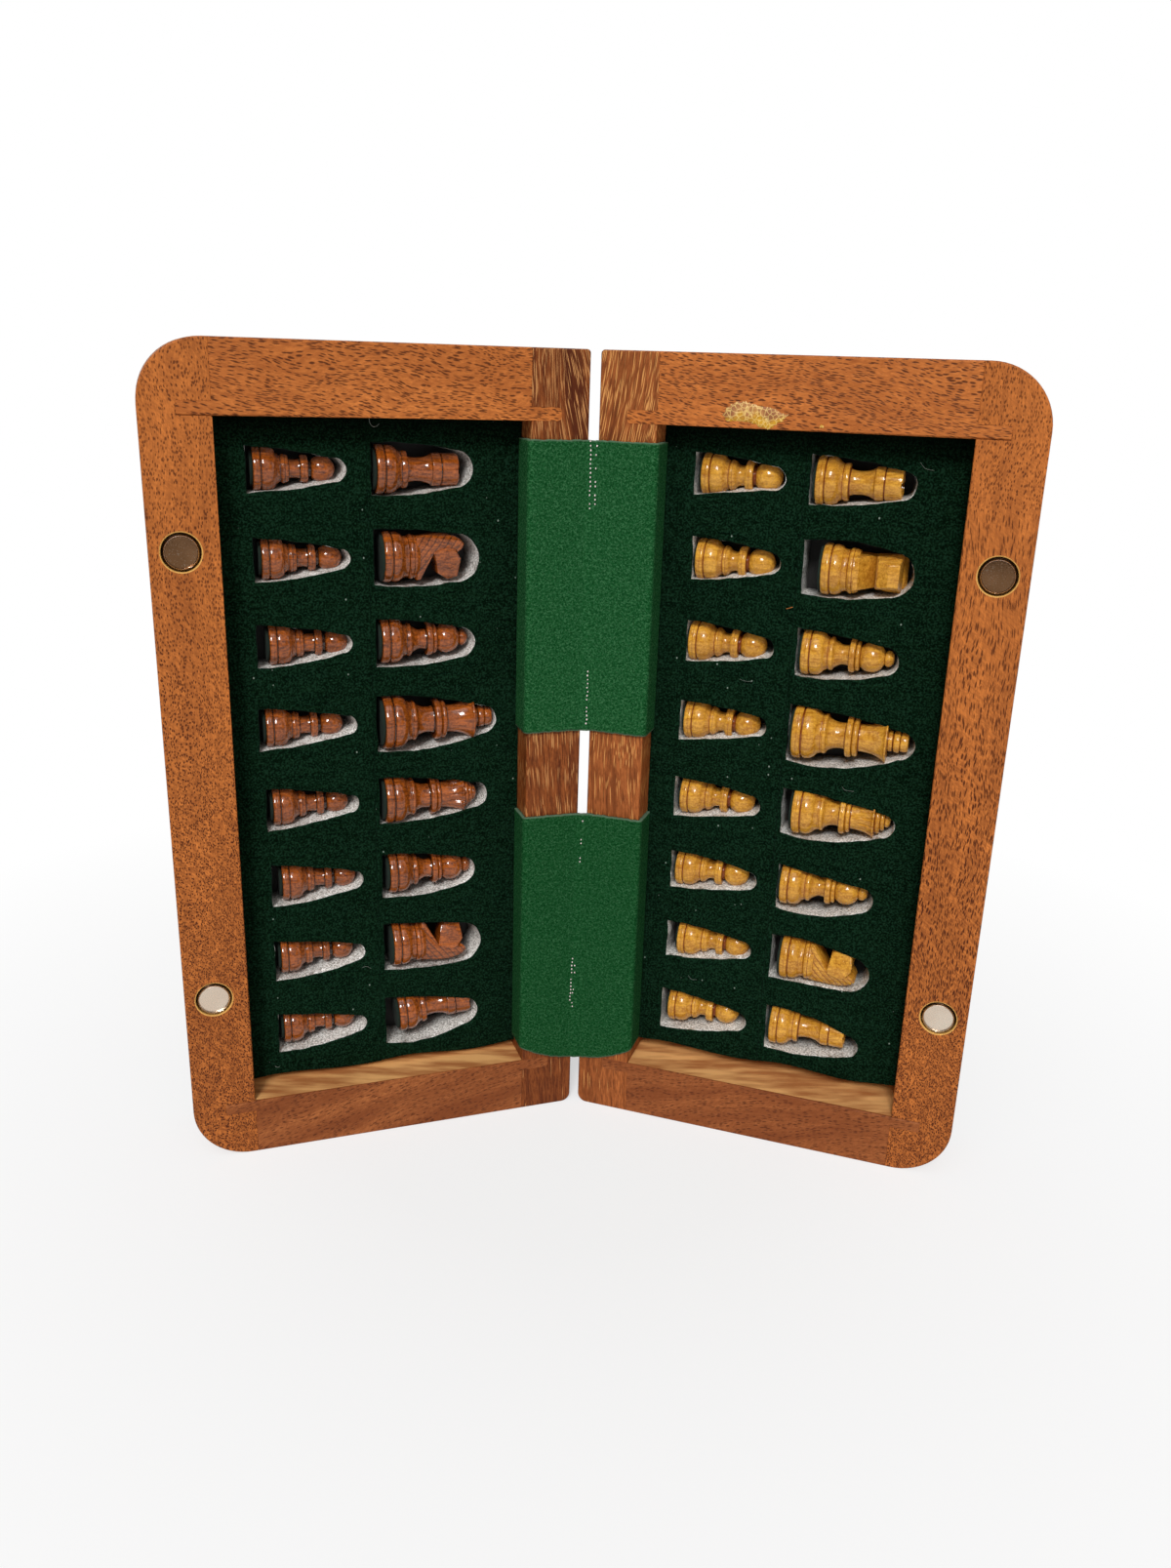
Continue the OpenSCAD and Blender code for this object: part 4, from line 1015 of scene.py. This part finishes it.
def knight_head(bm, roll):
    """Neck with its mane, a hexagonal head block, and a ring-and-dot eye on each side."""
    head = bmesh.new()
    head.loops.layers.uv.new("carving")
    neck = [(-4.4, -0.6), (-4.7, 1.2), (-4.95, 3.6), (-4.9, 6.2), (-4.5, 7.9), (-3.8, 9.2), (-2.9, 9.9),
            (-1.8, 9.3), (-0.8, 8.0), (0.6, 7.0), (0.6, 3.6), (-0.9, 3.3), (4.6, 0.3), (4.6, -0.6)]
    plate(head, neck, lambda x: 3.45 - max(0.0, -2.6 - x) * 0.65, [-2.6], 0.3, carved=True)
    block = [(-1.4, 3.5), (3.3, 4.1), (4.8, 6.4), (4.2, 8.6), (0.5, 9.1), (-1.8, 8.0), (-2.4, 6.3)]
    taper = lambda x: 3.8 - 0.3 * x if x > 0 else 3.8 - 0.07 * x
    plate(head, block, taper, [0.0], 0.35)
    for y in (-1, 1):
        lean = Matrix.Rotation(-y * math.atan(0.3), 4, "Z")
        at = Matrix.Translation((1.1, y * (taper(1.1) - 0.02), 6.6)) @ lean
        at = at @ Matrix.Rotation(math.radians(-90 * y), 4, "X")
        for outer, inner, rise in ((1.45, 1.2, 0.12), (0.85, 0.62, 0.12), (0.32, 0.0, 0.14)):
            line = [head.verts.new(at @ Vector((r, 0, h))) for r, h in
                    ((outer, -0.1), (outer, rise * -0.2), ((outer + inner) / 2, -rise * 1.5),
                     (inner, rise * -0.2), (inner, 0.1))]
            rim = [head.edges.new(pair) for pair in zip(line, line[1:])]
            axis = at.to_3x3() @ Vector((0, 0, 1))
            bmesh.ops.spin(head, geom=line + rim, cent=at.to_translation(), axis=axis, angle=2 * math.pi,
                           steps=28, use_merge=True)
    bmesh.ops.remove_doubles(head, verts=head.verts, dist=1e-4)
    bmesh.ops.recalc_face_normals(head, faces=head.faces)
    size = MEN["knight"][1] / 10.8
    start = MEN["knight"][0] - 9.9 * size
    turn = Matrix.Rotation(math.radians(roll), 4, "Z")
    head.transform(turn @ Matrix.Translation((0, 0, start)) @ Matrix.Scale(size, 4))
    mesh = bpy.data.meshes.new("head")
    head.to_mesh(mesh)
    head.free()
    bm.from_mesh(mesh)
    bpy.data.meshes.remove(mesh)


def man_finish(name, light, dark, line, gloss, grain, shift):
    """Polished wood: growth lines along the man's axis, fine rings from the lathe, and stain in the grooves and
    carved lines, with painted shade there too.
    """
    material, tree, shader = finish_named(name, Coat_Weight=gloss[0], Coat_Roughness=gloss[1], Coat_IOR=1.6,
                                          Specular_IOR_Level=0.05)
    wave = speckle(tree, grain, Detail=4.0, Roughness=0.7)
    cloud = speckle(tree, 120.0 + shift)
    grains = speckle(tree, 2300.0, Detail=1.0)
    light = tone(*light)
    colour = tinted(tree, light, dark, wave, 0.32, 0.7)
    colour = tinted(tree, colour, dark, cloud, 0.4, 0.7, 0.4)
    colour = tinted(tree, colour, dark, grains, 0.52, 0.68, 0.3)
    colour = blended(tree, ramped(tree, grains, 0.46, 0.34, 0.0, 0.4), colour, light)
    # Grooves darkened: stain in them, with painted shade where they turn in deep.
    marked = painted(tree, "groove")
    colour = tinted(tree, colour, line, marked, 0.05, 0.7, 0.9)
    carving = parted(tree, put(tree, "UVMap", uv_map="carving").outputs[0])
    cuts = sums(tree, "MULTIPLY", sums(tree, "PINGPONG", carving[0], 0.5), sums(tree, "MULTIPLY", carving[1], 2.0))
    # Carved lines darkened the same way: stain, with painted shade.
    colour = tinted(tree, colour, line, cuts, 0.6, 1.0, 0.7)
    height = sums(tree, "SUBTRACT", sums(tree, "MULTIPLY", wave, 0.3), cuts)
    dressed(tree, shader, colour, ramped(tree, wave, 0.3, 0.7, 0.35, 0.5), (height, 0.6, 0.0002))
    lathe = sums(tree, "ADD", wave, sums(tree, "MULTIPLY", grains, 0.5))
    coat_bump = put(tree, "Bump", {"Height": lathe, "Strength": 0.2, "Distance": 0.00012})
    tree.links.new(coat_bump.outputs[0], shader.inputs["Coat Normal"])
    return material


stained = man_finish("stained_sheesham", (186, 96, 28), (76, 30, 4), (20, 6, 1), (1.0, 0.06),
                     (240.0, 1500.0, 1900.0), 0)
boxwood = man_finish("boxwood", (232, 172, 62), (160, 98, 20), (112, 36, 6), (0.7, 0.14),
                     (200.0, 1200.0, 1200.0), 30)
pad_felt = mottled("pad_felt", 0.95, 2600.0, (4, 16, 9), (14, 38, 25))

ROLLS = {"dark_knight_1": 0, "dark_knight_2": 166, "light_knight_1": -90, "light_knight_2": 180}
# How far each base stands from the square end of its slot, from the top row down, and how much higher
# than the row's middle the men of the lid lie.
COLUMN_X = {"pawn": 6.4, "piece": 31.3}
SEATS = {
    "case": {"pawn": (0.6, 1.4, 2.1, 0.5, 1.1, 2.2, 1.1, 0.9), "piece": (0.4, 1.5, 0.7, 0.7, 0.7, 1.3, 1.7, 2.8)},
    "lid": {"pawn": (1.1, 0.9, 0.4, 0.4, 0.5, 0.4, 1.8, 0.5), "piece": (0.6, 3.4, 0.6, 0.4, 1.8, 0.4, 2, 0.8)},
}
RAISED = {"pawn": 0.5, "rook": 0.5, "knight": 0.6, "bishop": 0.6, "queen": 0.9, "king": 1.0}


def man(name, kind, i):
    """One man lying in slot i of its column, counted from the top, with a felt disc under its base."""
    side = -1 if name.startswith("dark") else 1
    height, width = MEN[kind]
    row = "pawn" if kind == "pawn" else "piece"
    seat = SEATS["case" if side < 0 else "lid"][row][i]
    raised = 0 if side < 0 else RAISED[kind]
    lie = Matrix.Translation((COLUMN_X[row] + seat, RAIL_D - 0.3 - width / 2, row_middle(i) - 0.15 + raised))
    place = well_place(side) @ lie @ Matrix.Rotation(math.radians(90), 4, "Y")
    if name == "dark_rook_2":
        place = place @ Matrix.Rotation(math.radians(-3.5), 4, "Y")
    bm = bmesh.new()
    bm.loops.layers.uv.new("carving")
    turned(bm, kind, "dark_pawn" if name.startswith("dark_pawn") else kind)
    if kind == "rook":
        rook_notches(bm)
    if kind == "queen":
        queen_flutes(bm)
    bmesh.ops.recalc_face_normals(bm, faces=bm.faces)
    if kind == "knight":
        knight_head(bm, ROLLS[name])
    bm.transform(place)
    wood = piece_of(bm, name + "_wood", name, [stained if side < 0 else boxwood], 35)
    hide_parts(name)
    disc = bmesh.new()
    radius = width / 2 - (0.35 if kind == "knight" else 0.8)
    bmesh.ops.create_cone(disc, cap_ends=True, segments=48, radius1=radius, radius2=radius, depth=PAD_T,
                          matrix=Matrix.Translation((0, 0, PAD_T / 2)))
    bevel(disc, [e for e in disc.edges if e.calc_face_angle(0) > 1], 0.15)
    disc.transform(place)
    pad = piece_of(disc, name + "_pad", name, [pad_felt], 60)


for i, kind in enumerate(ROWS):
    number = "" if kind in ("king", "queen") else "_1" if i < 4 else "_2"
    for wood_name in ("dark", "light"):
        man(f"{wood_name}_{kind}{number}", kind, i)
        man(f"{wood_name}_pawn_{i + 1}", "pawn", i)

# Studio. The box stands on a plain white sweep. A soft box lights it from in front and above, and the
# room behind the viewpoint is dim.
floor_finish, tree, shader = finish_named("studio_floor", Roughness=1.0, Specular_IOR_Level=0.0)
shader.inputs["Base Color"].default_value = (0.95, 0.95, 0.95, 1)
spot = put(tree, "VectorMath", {0: object_point(tree)}, operation="LENGTH").outputs["Value"]
seen = put(tree, "LightPath").outputs["Is Camera Ray"]
whitening = sums(tree, "MULTIPLY", ramped(tree, spot, 0.05, 0.25, 0.58, 1.0), seen)
sweep = put(tree, "MixShader", {0: whitening, 1: shader.outputs[0],
                                2: put(tree, "Emission", {"Strength": 1.0}).outputs[0]})
tree.links.new(sweep.outputs[0], tree.nodes["Material Output"].inputs["Surface"])
bm = bmesh.new()
bmesh.ops.create_grid(bm, x_segments=1, y_segments=1, size=6)
floor = piece_of(bm, "floor", None, [floor_finish])

world = bpy.data.worlds.new("studio")
scene.world = world
world.use_nodes = True
tree = world.node_tree
path = put(tree, "LightPath").outputs
facing = parted(tree, put(tree, "TexCoord").outputs["Generated"])["Y"]
seen = sums(tree, "MAXIMUM", path["Is Camera Ray"], path["Is Transmission Ray"])
shine = sums(tree, "MULTIPLY", path["Is Glossy Ray"], ramped(tree, facing, -0.5, -0.1, 0.08, 1.0))
seen = sums(tree, "MAXIMUM", seen, shine)
fill = sums(tree, "MULTIPLY", sums(tree, "SUBTRACT", 1.0, path["Is Glossy Ray"]), 0.2)
room = tree.nodes["Background"]
room.inputs["Color"].default_value = (1, 1, 1, 1)
tree.links.new(sums(tree, "MAXIMUM", seen, fill), room.inputs["Strength"])


def lamp(name, place, strength, spread):
    """A sun lamp that shines from the place, spread over some degrees."""
    data = bpy.data.lights.new(name, "SUN")
    data.energy, data.angle = strength, math.radians(spread)
    made = bpy.data.objects.new(name, data)
    made.location = place
    made.rotation_euler = (-Vector(place)).to_track_quat("-Z", "Y").to_euler()
    scene.collection.objects.link(made)


lamp("soft_box", (-0.12, -0.78, 0.62), 1.95, 15)
lamp("overhead_lamp", (-0.12, -0.45, 0.8), 0.5, 40)
lamp("front_lamp", (0.3, -0.8, 0.45), 0.3, 50)
scene.view_settings.view_transform = "Standard"
